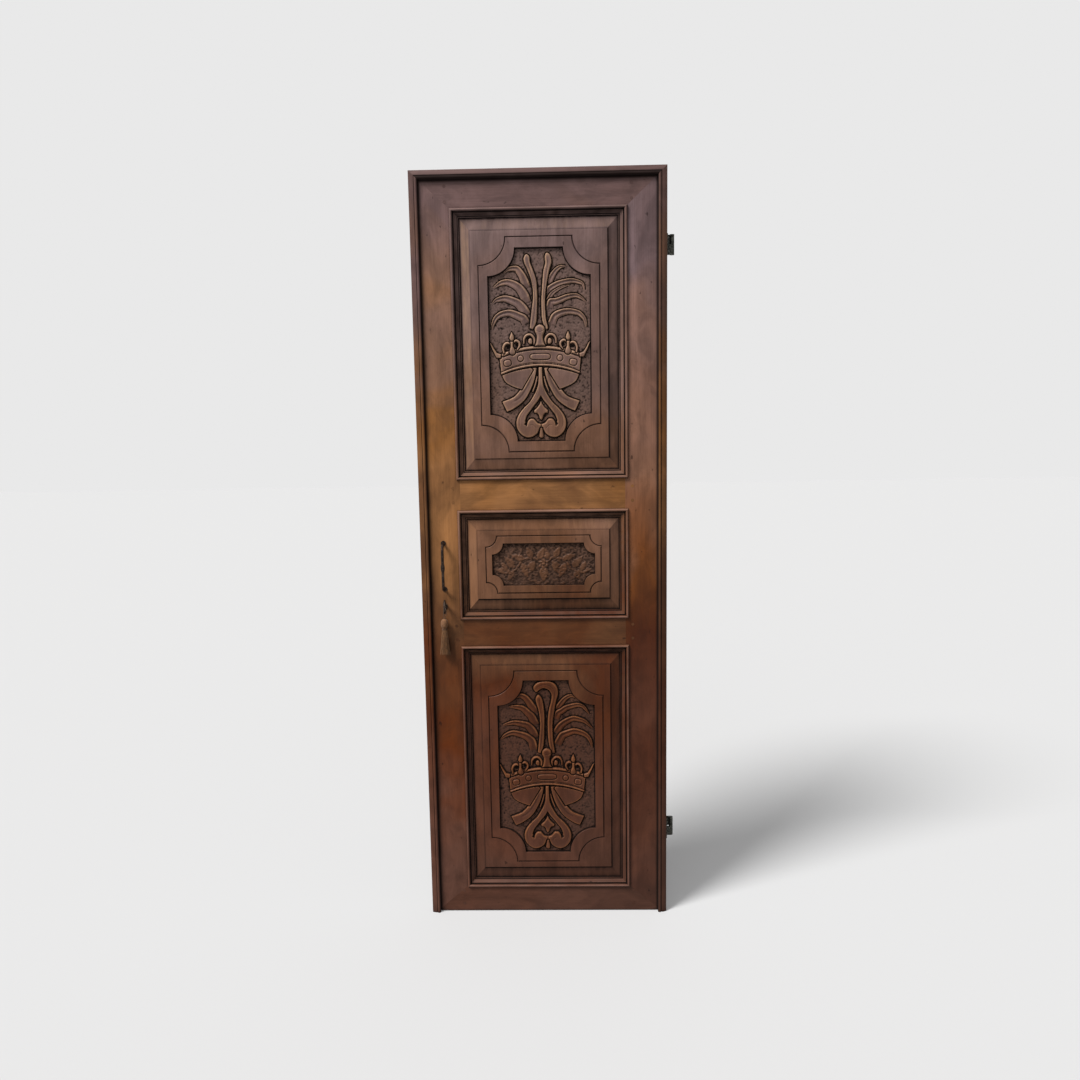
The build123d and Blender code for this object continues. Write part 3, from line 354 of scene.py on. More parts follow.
def walnut(name, along, shift=0.0, depth=0.0, painted=False, roughness=0.42, ageing_and_sheen=AGEING_AND_PAINTED_SHEEN, edges=(),
           rub_and_highlight_tones=RUBBED_AND_HIGHLIT_WOOD):
    """Walnut with its grain along one axis. A larger depth makes it darker. Each of edges is
    an axis, with the millimetres from the door's middle or foot where it is plain and where it
    is dark with painted shade and dirt."""
    finish = Finish(name, roughness)
    marks = board_marks(finish, along, shift)
    level = finish.maths("MULTIPLY", finish.axis("Z"), 1 / DOOR_HEIGHT)
    level = finish.maths("ADD", level, finish.span(marks["drift"], (0.3, 0.7), (-0.10, 0.10)))
    body = aged_body(finish, marks, level, ageing_and_sheen, depth)
    # Dirt and painted shade: darker deep in corners, found by ambient occlusion, and dirt in dents.
    grime_and_shade = finish.span(finish.openness(GRIME_AND_SHADE_REACH), (0.42, 0.76), (0.95, 0.0))
    grime_and_shade = finish.maths("MAXIMUM", grime_and_shade, finish.span(marks["dents"], (0.70, 0.78), (0.0, 0.6)))
    # Painted highlight with wear on proud places, painted shade with dirt in hollows, and a grey painted
    # shade on the low carved ground.
    if painted:
        fine = [s * 10 for s in ACROSS_GRAIN[along]]
        streaks = finish.noise(finish.stretched(fine, (shift,) * 3), 1.0, 4.0, 0.6)
        on_edges = finish.span(streaks, (0.3, 0.7), (0.5, 1.3))
        in_cuts = finish.span(streaks, (0.3, 0.7), (1.15, 0.85))
        rubbed_and_highlit = finish.maths("MULTIPLY", finish.painted("proud"), on_edges)
        hollow = finish.maths("MULTIPLY", finish.painted("hollow"), in_cuts)
        low_ground_shade = finish.span(finish.painted("low_ground_shade"), (0.0, 1.0), (0.0, 0.5))
        body = finish.blend(low_ground_shade, body, finish.ladder(level, LOW_GROUND_SHADE_TONES))
        bright = finish.span(rubbed_and_highlit, (0.0, 1.0), (0.0, 0.52))
        body = finish.blend(bright, body, finish.ladder(level, rub_and_highlight_tones))
        grime_and_shade = finish.maths("MAXIMUM", grime_and_shade, finish.span(hollow, (0.02, 0.92), (0.0, 0.96)))
    # Painted shade and dirt in bands along the gaps round the leaf and over the head's bead.
    for letter, plain_at, dark_at in edges:
        place = finish.maths("ABSOLUTE", finish.axis(letter), 0.0)
        grime_and_shade = finish.maths("MAXIMUM", grime_and_shade, finish.span(place, (plain_at * MM, dark_at * MM), (0.0, 0.9)))
    finish.colour(finish.blend(grime_and_shade, body, DARK_GRIME_AND_SHADE))
    gloss = finish.span(marks["patches"], (0.3, 0.7), (roughness + 0.1, roughness - 0.06))
    finish.roughness(finish.maths("ADD", gloss, finish.span(grime_and_shade, (0.1, 0.9), (0.0, 0.5))))
    finish.bump((marks["lines"], 0.0006, 0.25), (marks["pores"], 0.0003, 0.3), (marks["patches"], 0.002, 0.2))
    finish.shader.inputs["Specular IOR Level"].default_value = 0.14
    return finish.material


print("dirt reaches", GRIME_AND_SHADE_REACH / MM, "mm out of a corner")


# %% Walnut on the boards
# Where the leaf meets its frame, the wood darkens with painted shade and dirt between two places, and the
# head's bead lies wholly in painted shade.
LEAF_EDGES = (("X", 313.0, 320.0), ("Z", 2075.0, 2084.0))
JAMB_EDGE = (("X", 322.6, 321.4),)
HEAD_EDGE = (("Z", 2099.5, 2095.5),)
BOARDS = {
    "stile_left": walnut("walnut_stile_left", "Z", 0.0, edges=LEAF_EDGES),
    "stile_right": walnut("walnut_stile_right", "Z", 5.3, ageing_and_sheen=SHADED_AGEING, edges=LEAF_EDGES),
    "top_rail": walnut("walnut_top_rail", "X", 1.9, edges=LEAF_EDGES),
    "upper_mid_rail": walnut("walnut_upper_mid_rail", "X", 7.1, 0.12),
    "lower_mid_rail": walnut("walnut_lower_mid_rail", "X", 9.4, 0.12),
    "bottom_rail": walnut("walnut_bottom_rail", "X", 12.2, 0.25, edges=LEAF_EDGES[:1]),
    "joint_pegs": walnut("walnut_pegs", "X", 2.2, 0.3),
    "frame_jamb_left": walnut("walnut_jamb_left", "Z", 21.0, 0.3, edges=JAMB_EDGE),
    "frame_jamb_right": walnut("walnut_jamb_right", "Z", 23.0, 0.42, edges=JAMB_EDGE),
    "frame_head": walnut("walnut_head", "X", 25.0, 0.35, edges=HEAD_EDGE),
}
for name, material in BOARDS.items():
    wear(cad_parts[name], material)
print("boards given walnut:", len(BOARDS))


# %% [markdown]
# The carving is drawn as a height map, the way a carver thinks: first the flat sunk
# ground, then each form raised from it, with a narrow cut pared down beside it, which is
# darkened with painted shade. Each form is a curve or an outline in millimetres from the
# middle of its panel. The map then becomes one fine mesh. A mesh is better here than bump,
# because the real relief is deep enough to throw shadows and to change the outline seen
# from the side.

# %% Curves for carving
def smooth_line(points, cuts=10):
    """A smooth line through some points, as a fine list of points."""
    points = np.array(points, float)
    first = 2 * points[0] - points[1]
    last = 2 * points[-1] - points[-2]
    chain = np.vstack([first, points, last])
    steps = np.linspace(0, 1, cuts, endpoint=False)[:, None]
    pieces = []
    for a, b, c, d in zip(chain, chain[1:], chain[2:], chain[3:]):
        pieces.append(0.5 * (2 * b + (c - a) * steps + (2 * a - 5 * b + 4 * c - d) * steps ** 2
                             + (3 * b - a - 3 * c + d) * steps ** 3))
    return np.vstack(pieces + [points[-1:]])


def as_drawn(points):
    return points


def flipped(points):
    """The same points on the other side of the panel's upright middle line."""
    return [(-x, y) for x, y in points]


def halfway(first, second):
    """The points halfway between two rows of points."""
    return [((a[0] + b[0]) / 2, (a[1] + b[1]) / 2) for a, b in zip(first, second)]


def blurred(grid, reach):
    """A grid averaged over a square of cells, twice, for a soft blur."""
    for _ in range(2):
        for axis in (0, 1):
            size = 2 * reach + 1
            margins = [(reach + 1, reach) if a == axis else (0, 0) for a in (0, 1)]
            total = np.cumsum(np.pad(grid, margins, mode="edge"), axis=axis)
            high = np.take(total, range(size, total.shape[axis]), axis=axis)
            low = np.take(total, range(0, total.shape[axis] - size), axis=axis)
            grid = (high - low) / size
    return grid


BOTH_SIDES = (as_drawn, flipped)
print("a line through 3 points gets", len(smooth_line([(0, 0), (1, 1), (2, 0)])), "points")


# %% [markdown]
# The ground is one grid of heights, with a second grid for the painted shade that lies in the cuts.
# Its tools are named for a carver's cuts: a block stands up with a rounded edge, a ridge
# is a round line, a groove is a cut line, and a feather is one frond of the plumes. Each tool
# works out the distance from its curve only in a small window round it, which keeps it fast.

# %% The carved ground
class Ground:
    """A carved field: a grid of heights in millimetres over the sunk ground."""

    def __init__(self, half_wide, half_high, step):
        self.x = np.arange(-half_wide - step, half_wide + step * 1.01, step)
        self.y = np.arange(-half_high - step, half_high + step * 1.01, step)
        self.height = np.zeros((len(self.y), len(self.x)))
        self.shade = np.zeros_like(self.height)

    def darken(self, where, amount):
        """Painted shade that lies in a cut. It covers lighter shade and leaves darker shade."""
        self.shade[where] = np.maximum(self.shade[where], np.clip(amount, 0, 1))

    def window(self, points, pad):
        """The part of the grid round some points, as slices and coordinates."""
        low, high = points.min(axis=0) - pad, points.max(axis=0) + pad
        i0, i1 = np.searchsorted(self.x, (low[0], high[0]))
        j0, j1 = np.searchsorted(self.y, (low[1], high[1]))
        across, up = np.meshgrid(self.x[i0:i1], self.y[j0:j1])
        return (slice(j0, j1), slice(i0, i1)), across, up

    def nearest(self, line, across, up):
        """For each place: distance to a line, the side it lies on, and how far along."""
        best = np.full(across.shape, 1e9)
        side = np.zeros(across.shape)
        along = np.zeros(across.shape)
        lengths = np.hypot(*(line[1:] - line[:-1]).T)
        total = lengths.sum()
        done = 0.0
        for start, end, length in zip(line, line[1:], lengths):
            if length < 1e-9:
                continue
            way = (end - start) / length
            dx, dy = across - start[0], up - start[1]
            run = np.clip(dx * way[0] + dy * way[1], 0, length)
            gap = np.hypot(dx - run * way[0], dy - run * way[1])
            closer = gap < best
            best = np.where(closer, gap, best)
            side = np.where(closer, np.sign(way[0] * dy - way[1] * dx), side)
            along = np.where(closer, (done + run) / total, along)
            done += length
        return best, side, along

    def inside_distance(self, outline, across, up):
        """Distance to a closed outline, positive inside it."""
        closed = np.vstack([outline, outline[:1]])
        gap, _, _ = self.nearest(closed, across, up)
        inside = np.zeros(across.shape, bool)
        for (x0, y0), (x1, y1) in zip(closed, closed[1:]):
            if y0 == y1:
                continue
            crosses = (y0 > up) != (y1 > up)
            inside ^= crosses & (across < (x1 - x0) * (up - y0) / (y1 - y0) + x0)
        return np.where(inside, gap, -gap)

    def raise_to(self, where, form, inside):
        """Raises the ground to a form where it lies inside, unless it is already higher."""
        patch = self.height[where]
        self.shade[where] = np.where(inside & (form >= patch), 0.0, self.shade[where])
        self.height[where] = np.where(inside, np.maximum(patch, form), patch)

    def pare(self, where, outside_gap, width, depth):
        """Pares a narrow cut just outside a form."""
        share = np.clip(1 - outside_gap / width, 0, 1)
        cut = depth * share * (outside_gap >= 0)
        self.height[where] = np.minimum(self.height[where], self.height[where] * (1 - share) - cut)
        self.darken(where, share * 1.5 * (outside_gap > -0.5))

    def block(self, outline, height, edge=3.0, cut=(2.6, 1.8)):
        """A raised form with a closed outline, rounded at its edge."""
        outline = np.array(outline, float)
        where, across, up = self.window(outline, 8)
        gap = self.inside_distance(outline, across, up)
        self.pare(where, -gap, *cut)
        share = np.clip(gap / edge, 0, 1)
        form = height * np.sqrt(1 - (1 - share) ** 2)
        self.height[where] = np.where(gap > 0, form, self.height[where])
        self.shade[where] = np.where(gap > 0.5, 0.0, self.shade[where])

    def ridge(self, points, widths, height, cut=(2.4, 1.6), cuts=10):
        """A raised round line, with its own width at each point."""
        line = smooth_line(points, cuts)
        where, across, up = self.window(line, max(widths) + 4)
        gap, _, along = self.nearest(line, across, up)
        half = np.interp(along, np.linspace(0, 1, len(widths)), widths) / 2
        self.pare(where, gap - half, *cut)
        form = height * np.sqrt(np.clip(1 - (gap / np.maximum(half, 0.01)) ** 2, 0, 1)) ** 0.8
        self.raise_to(where, form, gap < half)

    def groove(self, points, width, depth, cuts=10):
        """A cut line, deepest in its middle."""
        line = smooth_line(points, cuts)
        where, across, up = self.window(line, width)
        gap, _, along = self.nearest(line, across, up)
        fade = np.clip(np.minimum(along, 1 - along) * 12, 0.25, 1)
        share = np.clip(1 - gap / (width / 2), 0, 1)
        self.height[where] -= depth * fade * share
        self.darken(where, share * fade * min(1.0, depth / 1.8))

    def feather(self, upper_edge, width, height):
        """A frond: a deep cut along its upper edge, a ridge under it and a long soft fall."""
        line = smooth_line(upper_edge)
        where, across, up = self.window(line, width * 2.2)
        gap, side, along = self.nearest(line, across, up)
        under = gap * np.where(side * np.sign(line[-1, 0] - line[0, 0]) < 0, 1, -1)
        ends = np.clip(np.minimum(along * 9, (1 - along) * 6), 0, 1) ** 0.6
        reach = width * np.interp(along, [0, 0.25, 0.6, 0.85, 1.0], [1.9, 1.75, 1.35, 0.95, 0.4])
        shares = np.array([-9, 0.0, 0.05, 0.14, 0.22, 0.34, 0.5, 0.66, 0.78, 0.95, 1.0])
        levels = np.array([0, 0, 0.8, 1.0, 0.92, 0.52, 0.42, 0.62, 0.58, 0.34, 0.0])
        form = height * ends * np.interp(under / reach, shares, levels)
        on_line = (along > 0.001) & (along < 0.999)
        self.raise_to(where, form, (under > 0) & (under < reach) & on_line)
        upper_cut = np.clip(1 - np.abs(under + 0.6) / 2.1, 0, 1) * (0.4 + 0.6 * ends)
        self.height[where] -= 2.6 * upper_cut * on_line
        self.darken(where, 1.5 * upper_cut * on_line)
        lower_cut = np.clip(1 - np.abs(under - reach) / 1.7, 0, 1) * ends
        self.height[where] -= 1.2 * lower_cut * ((along > 0.02) & (along < 0.98))
        self.darken(where, 0.9 * lower_cut * ((along > 0.1) & (along < 0.98)))

    def pit(self, x, y, radius, depth):
        """A small round hollow."""
        spot = np.array([(x - radius, y - radius), (x + radius, y + radius)])
        where, across, up = self.window(spot, 1)
        gap = np.hypot(across - x, up - y)
        share = np.clip(1 - (gap / radius) ** 2, 0, 1)
        self.height[where] -= depth * share
        self.darken(where, share)

    def stone(self, x, y, wide, high, height, turn=0.0, corner=0.4):
        """A set stone: a raised oblong with rounded corners inside a cut ring."""
        angles = np.linspace(0, 2 * math.pi, 40, endpoint=False)
        power = corner * 2
        ring = np.stack([np.sign(np.cos(angles)) * np.abs(np.cos(angles)) ** power * wide / 2,
                         np.sign(np.sin(angles)) * np.abs(np.sin(angles)) ** power * high / 2], 1)
        c, s = math.cos(turn), math.sin(turn)
        ring = ring @ np.array([[c, s], [-s, c]]) + (x, y)
        base = float(self.height[np.searchsorted(self.y, y), np.searchsorted(self.x, x)])
        where, across, up = self.window(ring, 6)
        gap = self.inside_distance(ring, across, up)
        ring_share = np.clip(1 - np.abs(gap + 1.4) / 1.7, 0, 1)
        self.height[where] -= 2.3 * ring_share
        self.darken(where, ring_share)
        form = base + height * np.sqrt(1 - (1 - np.clip(gap / 3.2, 0, 1)) ** 2) - 0.8
        self.height[where] = np.where(gap > 0.2, form, self.height[where])


TALL_RECESS = (280.0, 521.0)
SMALL_RECESS = (290.0, 121.0)
upper_ground = Ground(TALL_RECESS[0] / 2, TALL_RECESS[1] / 2, 1.2)
lower_ground = Ground(TALL_RECESS[0] / 2, TALL_RECESS[1] / 2, 1.2)
middle_ground = Ground(SMALL_RECESS[0] / 2, SMALL_RECESS[1] / 2, 1.0)
print("cells in a tall ground:", upper_ground.height.size)


# %% [markdown]
# The tall panels show a crown with tall plumes above it and two sashes and a heart-shaped
# scroll below: a common ornament of old country furniture. The same hand cut it twice,
# and not quite alike, so each panel has its own fronds and plume tips. A frond is given by
# its upper edge, its width and its height.

# %% Plumes and fronds
UPPER_PLUMES = [
    [(-28, 46), (-22, 94), (-17, 134), (-21, 171), (-31, 200), (-38, 216), (-41, 232), (-34, 243),
     (-25, 237), (-23, 221), (-15, 200), (-7, 174), (-5, 147), (-5, 121), (-6, 89), (-9, 62), (-18, 44)],
    [(15, 42), (7, 67), (5, 94), (5, 120), (7, 147), (9, 173), (12, 199), (17, 218), (16, 234),
     (21, 246), (31, 240), (35, 222), (30, 204), (25, 183), (20, 157), (16, 120), (18, 72), (23, 46)],
]
UPPER_FRONDS = [
    ([(-22, 158), (-29, 177), (-39, 195), (-55, 212), (-74, 213), (-87, 208), (-98, 196)], 13, 5.2),
    ([(-22, 118), (-29, 140), (-48, 164), (-78, 178), (-105, 175), (-126, 158)], 15, 5.0),
    ([(-23, 88), (-33, 105), (-46, 119), (-62, 128), (-92, 136), (-118, 129), (-130, 116)], 15, 5.0),
    ([(-26, 66), (-36, 81), (-49, 88), (-79, 98), (-107, 93), (-124, 80), (-132, 62), (-133, 44)], 13, 5.6),
    ([(18, 168), (25, 183), (34, 196), (45, 207), (58, 213), (74, 212)], 10, 4.6),
    ([(16, 140), (20, 155), (38, 167), (58, 174), (85, 178), (106, 174), (121, 165), (125, 146)], 11, 5.2),
    ([(17, 122), (30, 141), (46, 152), (66, 160), (84, 161)], 7, 3.4),
    ([(17, 104), (25, 124), (46, 127), (74, 136), (98, 138), (114, 131), (129, 116)], 11, 5.2),
    ([(22, 62), (33, 84), (52, 95), (79, 99), (106, 93), (120, 82), (128, 68), (128, 46)], 12, 5.6),
]
LOWER_PLUMES = [
    [(-26, 44), (-21, 90), (-18, 130), (-21, 165), (-27, 188), (-30, 204), (-22, 217),
     (-11, 206), (-6, 180), (-4, 147), (-5, 121), (-6, 89), (-9, 62), (-17, 42)],
    [(15, 42), (7, 67), (4, 100), (4, 140), (8, 172), (14, 196), (16, 216), (8, 230), (-6, 236),
     (-18, 231), (-28, 224), (-36, 238), (-24, 253), (0, 258), (20, 254), (33, 240), (36, 221),
     (30, 197), (24, 165), (19, 130), (20, 80), (24, 44)],
]
LOWER_FRONDS = [
    ([(-17, 170), (-31, 188), (-42, 203), (-55, 216), (-73, 222), (-90, 216), (-103, 200)], 13, 5.0),
    ([(-18, 130), (-31, 156), (-43, 168), (-62, 183), (-83, 187), (-108, 184)], 14, 4.6),
    ([(-20, 92), (-29, 114), (-46, 132), (-63, 138), (-89, 141), (-106, 138), (-127, 128)], 14, 4.8),
    ([(-23, 52), (-30, 80), (-41, 93), (-55, 102), (-75, 108), (-98, 111), (-120, 102), (-136, 84)], 14, 5.2),
    ([(20, 172), (36, 194), (50, 209), (65, 217), (80, 216), (92, 203)], 10, 4.4),
    ([(18, 146), (27, 167), (41, 176), (56, 185), (88, 192), (107, 187), (118, 175), (127, 156)], 11, 5.0),
    ([(18, 106), (29, 125), (41, 137), (58, 147), (78, 153), (99, 148), (118, 138), (136, 115)], 12, 5.0),
    ([(20, 70), (31, 92), (40, 104), (58, 111), (78, 116), (98, 112), (117, 102), (131, 84),
      (135, 55)], 13, 5.4),
]


def carve_plumes(ground, plumes, fronds):
    """Fronds first, then the two plumes laid over their roots."""
    for upper_edge, width, height in fronds:
        ground.feather(upper_edge, width, height)
    for outline in plumes:
        closed = smooth_line(outline + outline[:1], 6)[:-1]
        ground.block(closed, 6.6, edge=3.0, cut=(3.4, 2.6))
        half = len(outline) // 2
        ground.groove(halfway(outline[:half], outline[::-1]), 3.4, 0.9)


carve_plumes(upper_ground, UPPER_PLUMES, UPPER_FRONDS)
carve_plumes(lower_ground, LOWER_PLUMES, LOWER_FRONDS)
print("fronds carved:", len(UPPER_FRONDS), "above and", len(LOWER_FRONDS), "below")


# %% [markdown]
# Two broad sashes sweep out from under the crown like the ends of a ribbon, with a thin
# strand inside each. On the door they are flat bands with a hollow down the middle. A
# block gives the band from its two edges, and the hollow is one wide shallow groove that
# runs halfway between them.

# %% Sashes
def carve_sashes(ground):
    """Two broad sashes that sweep out from under the crown, with thin strands inside."""
    outer = [(31, -58), (35, -80), (44, -102), (58, -121), (76, -139), (107, -151)]
    inner = [(94, -179), (76, -171), (54, -156), (40, -141), (28, -120), (19, -99), (13, -78), (10, -60)]
    for turn in BOTH_SIDES:
        edge = np.vstack([smooth_line(turn(outer), 6), smooth_line(turn(inner), 6)])
        ground.block(edge, 5.6, edge=1.8, cut=(3.4, 2.8))
        ground.groove(turn(halfway(outer, inner[::-1])), 9.0, 0.9)
        ground.ridge(turn([(9, -84), (15, -106), (22, -124)]), [5, 5, 4], 3.6, cut=(2.2, 2.0))


for ground in (upper_ground, lower_ground):
    carve_sashes(ground)
print("sashes stand", round(float(upper_ground.height[:len(upper_ground.y) // 2].max()), 2), "mm high")


# %% [markdown]
# The crown sits across the middle of each tall panel. It is a band between two round rolls,
# set with stones, with leaf forms called fleurons standing on it and its lining showing
# below. Its long lines are shallow arcs, so a small helper gives an arc from its two ends
# and its top. The pieces are carved from the back to the front, as they overlap.

# %% The crown
ROLLS = ((105.5, -73.5, -52, 6.5, 6.2), (113.5, -28, -5, 8.0, 6.8))
CROWN_GROOVES = ((105, -67, -45, 3.0, 2.0), (115, -36, -11.5, 3.2, 2.3), (108, -79, -58.5, 2.4, 1.6))
CROWN_PITS = ((88, -3, 5.5), (64, 2, 4.5), (50, -4, 4.0))


def arc_line(side_x, side_y, crown_y, count=24):
    """A shallow arc across the panel, from one side over the middle to the other."""
    half, rise = side_x, crown_y - side_y
    radius = (half ** 2 + rise ** 2) / (2 * rise)
    xs = np.linspace(-half, half, count)
    return np.stack([xs, crown_y - radius + np.sqrt(radius ** 2 - xs ** 2)], 1)


def carve_crown_band(ground):
    """The lining below, the band with its two rolls and grooves, and the five stones."""
    for turn in BOTH_SIDES:
        lining = smooth_line([(107, -72), (104, -84), (96, -98), (79, -109), (52, -119)], 6).tolist()
        ground.block(turn(lining + [(20, -66), (30, -54)]), 3.6, edge=1.2, cut=(3.0, 2.6))
    band = np.vstack([arc_line(107, -77, -57), arc_line(113, -22, -1)[::-1]])
    ground.block(band, 4.6, edge=2.0, cut=(3.0, 2.4))
    for *arc, width, height in ROLLS:
        ground.ridge(arc_line(*arc), [width, width], height, cut=(1.8, 0.0), cuts=2)
    for *arc, width, depth in CROWN_GROOVES:
        ground.groove(arc_line(*arc), width, depth, cuts=2)
    ground.stone(0, -30, 54, 15, 1.9, corner=0.3)
    for side in (-1, 1):
        ground.stone(side * 54, -34, 14, 15, 1.8, side * -0.1, corner=0.5)
        ground.stone(side * 90, -46, 19, 16, 1.8, side * -0.22, corner=0.34)


def carve_fleurons(ground):
    """The corner spikes, the two side fleurons with their pits, and the tall middle one."""
    spike = [(139, 12), (133, 7), (126, -6), (118, -18), (106, -22), (108, -33), (120, -32), (131, -9)]
    bud = [(77, 39), (71, 27), (70, 19), (74, 13), (80, 13), (84, 20), (82, 28)]
    hoop = [(15, 3), (16, 19), (25, 29), (36, 28), (43, 19), (44, 6)]
    for turn in BOTH_SIDES:
        ground.block(turn(spike), 6.0, edge=3.0)
        ground.ridge(turn([(99, -19), (101, -6), (96, 5), (88, 8), (80, 4)]), [5, 6, 7, 7, 4], 6.4)
        ground.ridge(turn([(62, -10), (56, 0), (57, 9), (65, 14), (73, 10)]), [4, 6, 7, 7, 5], 6.4)
        ground.ridge(turn([(76, -16), (77, 0), (77, 12)]), [18, 7, 9], 5.2)
        ground.block(turn(bud), 6.2, edge=4.5)
        ground.ridge(turn(hoop), [6, 7, 7, 7, 6, 4], 6.4)
        ground.block(turn([(20, 12), (22, 19), (27, 21), (32, 17), (33, 9), (28, 3), (21, 4)]), 5.0, edge=4.0)
    for side in (-1, 1):
        for x, y, radius in CROWN_PITS:
            ground.pit(side * x, y, radius, 2.4)
    middle = smooth_line([(-16, -2), (-11, 10), (-9, 26), (-14, 38), (-13, 50), (0, 57),
                          (13, 50), (14, 38), (9, 26), (11, 10), (16, -2)], 6)
    ground.block(middle, 6.8, edge=7.0)
    ground.groove([(-12, 42), (0, 37), (12, 42)], 2.0, 0.9)


for ground in (upper_ground, lower_ground):
    carve_crown_band(ground)
    carve_fleurons(ground)
print("the crown stands", round(float(upper_ground.height.max()), 2), "mm over the ground")


# %% [markdown]
# Below the crown a stem parts into a heart of two scrolls, with a small flower hanging
# inside it. The heart is the same on both sides, so one half is drawn and the other is its
# mirror image, and the two halves are carved as one block without a seam.

# %% Heart scroll and small flower
def carve_heart(ground):
    """The middle stem that parts into a heart of two scrolls, with a flower inside."""
    outer = [(5, -58), (6, -90), (8, -108), (15, -126), (30, -151), (48, -169), (62, -187), (69, -206),
             (67, -226), (57, -241), (42, -250), (26, -249), (12, -240), (6, -229)]
    lobe = [(0, -213), (10, -210), (20, -199), (31, -199), (38, -207), (41, -218)]
    inside = [(44, -204), (39, -190), (30, -178), (18, -162), (8, -150), (0, -137)]
    scroll = [(4, -100), (10, -126), (26, -152), (46, -174), (58, -194), (60, -214), (53, -230)]
    half = np.vstack([smooth_line(outer, 6), [(0, -224)], smooth_line(lobe, 6), smooth_line(inside, 6)])
    ground.block(np.vstack([half, (half * (-1, 1))[::-1]]), 6.4, edge=3.0, cut=(3.4, 2.8))
    for turn in BOTH_SIDES:
        ground.groove(turn(scroll), 3.0, 0.8)
        ground.pit(*turn([(43, -213)])[0], 4.2, 4.0)
        ground.groove(turn([(12, -226), (22, -216), (32, -216)]), 3.0, 0.9)
    flower = [(0, -149), (4, -158), (10, -167), (20, -176), (19, -183), (11, -184), (7, -189),
              (4, -199), (0, -204)]
    ground.block(flower + flipped(flower[-2:0:-1]), 5.0, edge=4.0)
    ground.ridge([(0, -226), (0, -246)], [8, 13], 4.6)


for ground in (upper_ground, lower_ground):
    carve_heart(ground)
print("cells with dirt in a cut:", int((upper_ground.shade > 0.5).sum()))


# %% [markdown]
# The middle panel's carving is worn almost flat, so it gets plain foliage: a waving stem
# with pointed leaves on both sides of a small flower. It is carved crisply first, and then
# it is blurred low and covered with short gouge marks from a seeded chance. Wear made this
# way looks like wear, because the old forms still show faintly through it.

# %% Foliage of the middle panel
LEAF_HALF = [(0, 0), (0.18, 0.34), (0.42, 0.5), (0.72, 0.3), (1, 0)]
SPRAYS = [(16, 12, 118, 42, 22), (30, 16, 62, 40, 20), (52, 12, 20, 44, 20), (24, 10, -58, 56, 24),
          (62, 4, -112, 48, 22), (80, -12, 48, 48, 22), (92, -22, 8, 46, 20), (86, -18, -62, 34, 18),
          (104, -22, 62, 34, 18)]
STEM = [(0, -2), (26, 18), (58, 10), (84, -18), (118, -22)]
GOUGE_MARKS = 260


def carve_leaf(ground, x, y, angle, length, width, height):
    """One pointed leaf with a middle vein."""
    a = math.radians(angle)
    ahead, aside = np.array([math.cos(a), math.sin(a)]), np.array([-math.sin(a), math.cos(a)])
    root = np.array([x, y])
    one = smooth_line([root + ahead * u * length + aside * v * width for u, v in LEAF_HALF], 5)
    two = smooth_line([root + ahead * u * length - aside * v * width for u, v in LEAF_HALF[::-1]], 5)
    ground.block(np.vstack([one[:-1], two[:-1]]), height, edge=5.0, cut=(2.2, 1.0))
    ground.groove([root + ahead * length * share for share in (0.08, 0.5, 0.9)], 2.0, 0.9)


def carve_foliage(ground):
    """A flower in the middle and a spray of leaves to each side."""
    carve_leaf(ground, 0, 6, 90, 48, 26, 4.6)
    carve_leaf(ground, 0, -6, -90, 46, 28, 4.6)
    for side in (1, -1):
        ground.ridge([(side * x, y) for x, y in STEM], [9, 8, 7, 6, 4], 3.8)
        for x, y, angle, length, width in SPRAYS:
            carve_leaf(ground, side * x, y, angle if side > 0 else 180 - angle, length, width, 4.4)
    for turn in range(6):
        carve_leaf(ground, 0, 0, 30 + turn * 60, 17, 13, 5.4)
    ground.ridge([(-1.5, 0), (1.5, 0)], [8, 8], 6.2)


def wear_down(ground, seed):
    """Rubs a carving low and covers it with short gouge marks, so that it is hard to read."""
    chance = random.Random(seed)
    lumps = blurred(np.random.default_rng(seed).normal(0, 1, ground.height.shape), 2)
    ground.height = blurred(ground.height, 1) * 0.45 + lumps * 2.6
    ground.shade *= 0.4
    for _ in range(GOUGE_MARKS):
        x = chance.uniform(ground.x[4], ground.x[-5])
        y = chance.uniform(ground.y[4], ground.y[-5])
        length, lean = chance.uniform(4, 13), chance.gauss(0, 0.45)
        step = np.array([math.cos(lean), math.sin(lean)]) * length
        ground.groove([(x, y), (x + step[0] / 2, y + step[1] / 2), (x + step[0], y + step[1])],
                      chance.uniform(3.0, 5.0), chance.uniform(0.4, 1.3), cuts=2)


carve_foliage(middle_ground)
wear_down(middle_ground, 17)
print("leaves carved:", 2 + 2 * len(SPRAYS) + 6, "and gouge marks:", GOUGE_MARKS)


# %% [markdown]
# Now the boards. A panel is a raised field with a wide bevel, and its carved recess has
# hollow corners with an incised line running round it. The outlines of both come from one
# rule: straight sides, and at each corner a quarter circle that bites inward. An outline
# can be grown from the same corner centres, which gives a cut or a wall its even width. The
# incised line is a larger outline with corner centres of its own, and it lies a little
# further out above and below the recess than at its sides.

# %% Outlines with hollow corners
FIELD_Y = 3.0
RIM_Y = FIELD_Y + 1.5
LINE_Y = FIELD_Y + 2.0
TONGUE_Y = 10.0
GROUND_Y = 11.0
WALL_FOOT_Y = GROUND_Y + 3.5
TONGUE_BACK_Y = 18.0
BACK_Y = 22.0


def rectangle(half_w, half_h):
    """Four corners, from the top right over the top left and round."""
    return [(half_w, half_h), (-half_w, half_h), (-half_w, -half_h), (half_w, -half_h)]


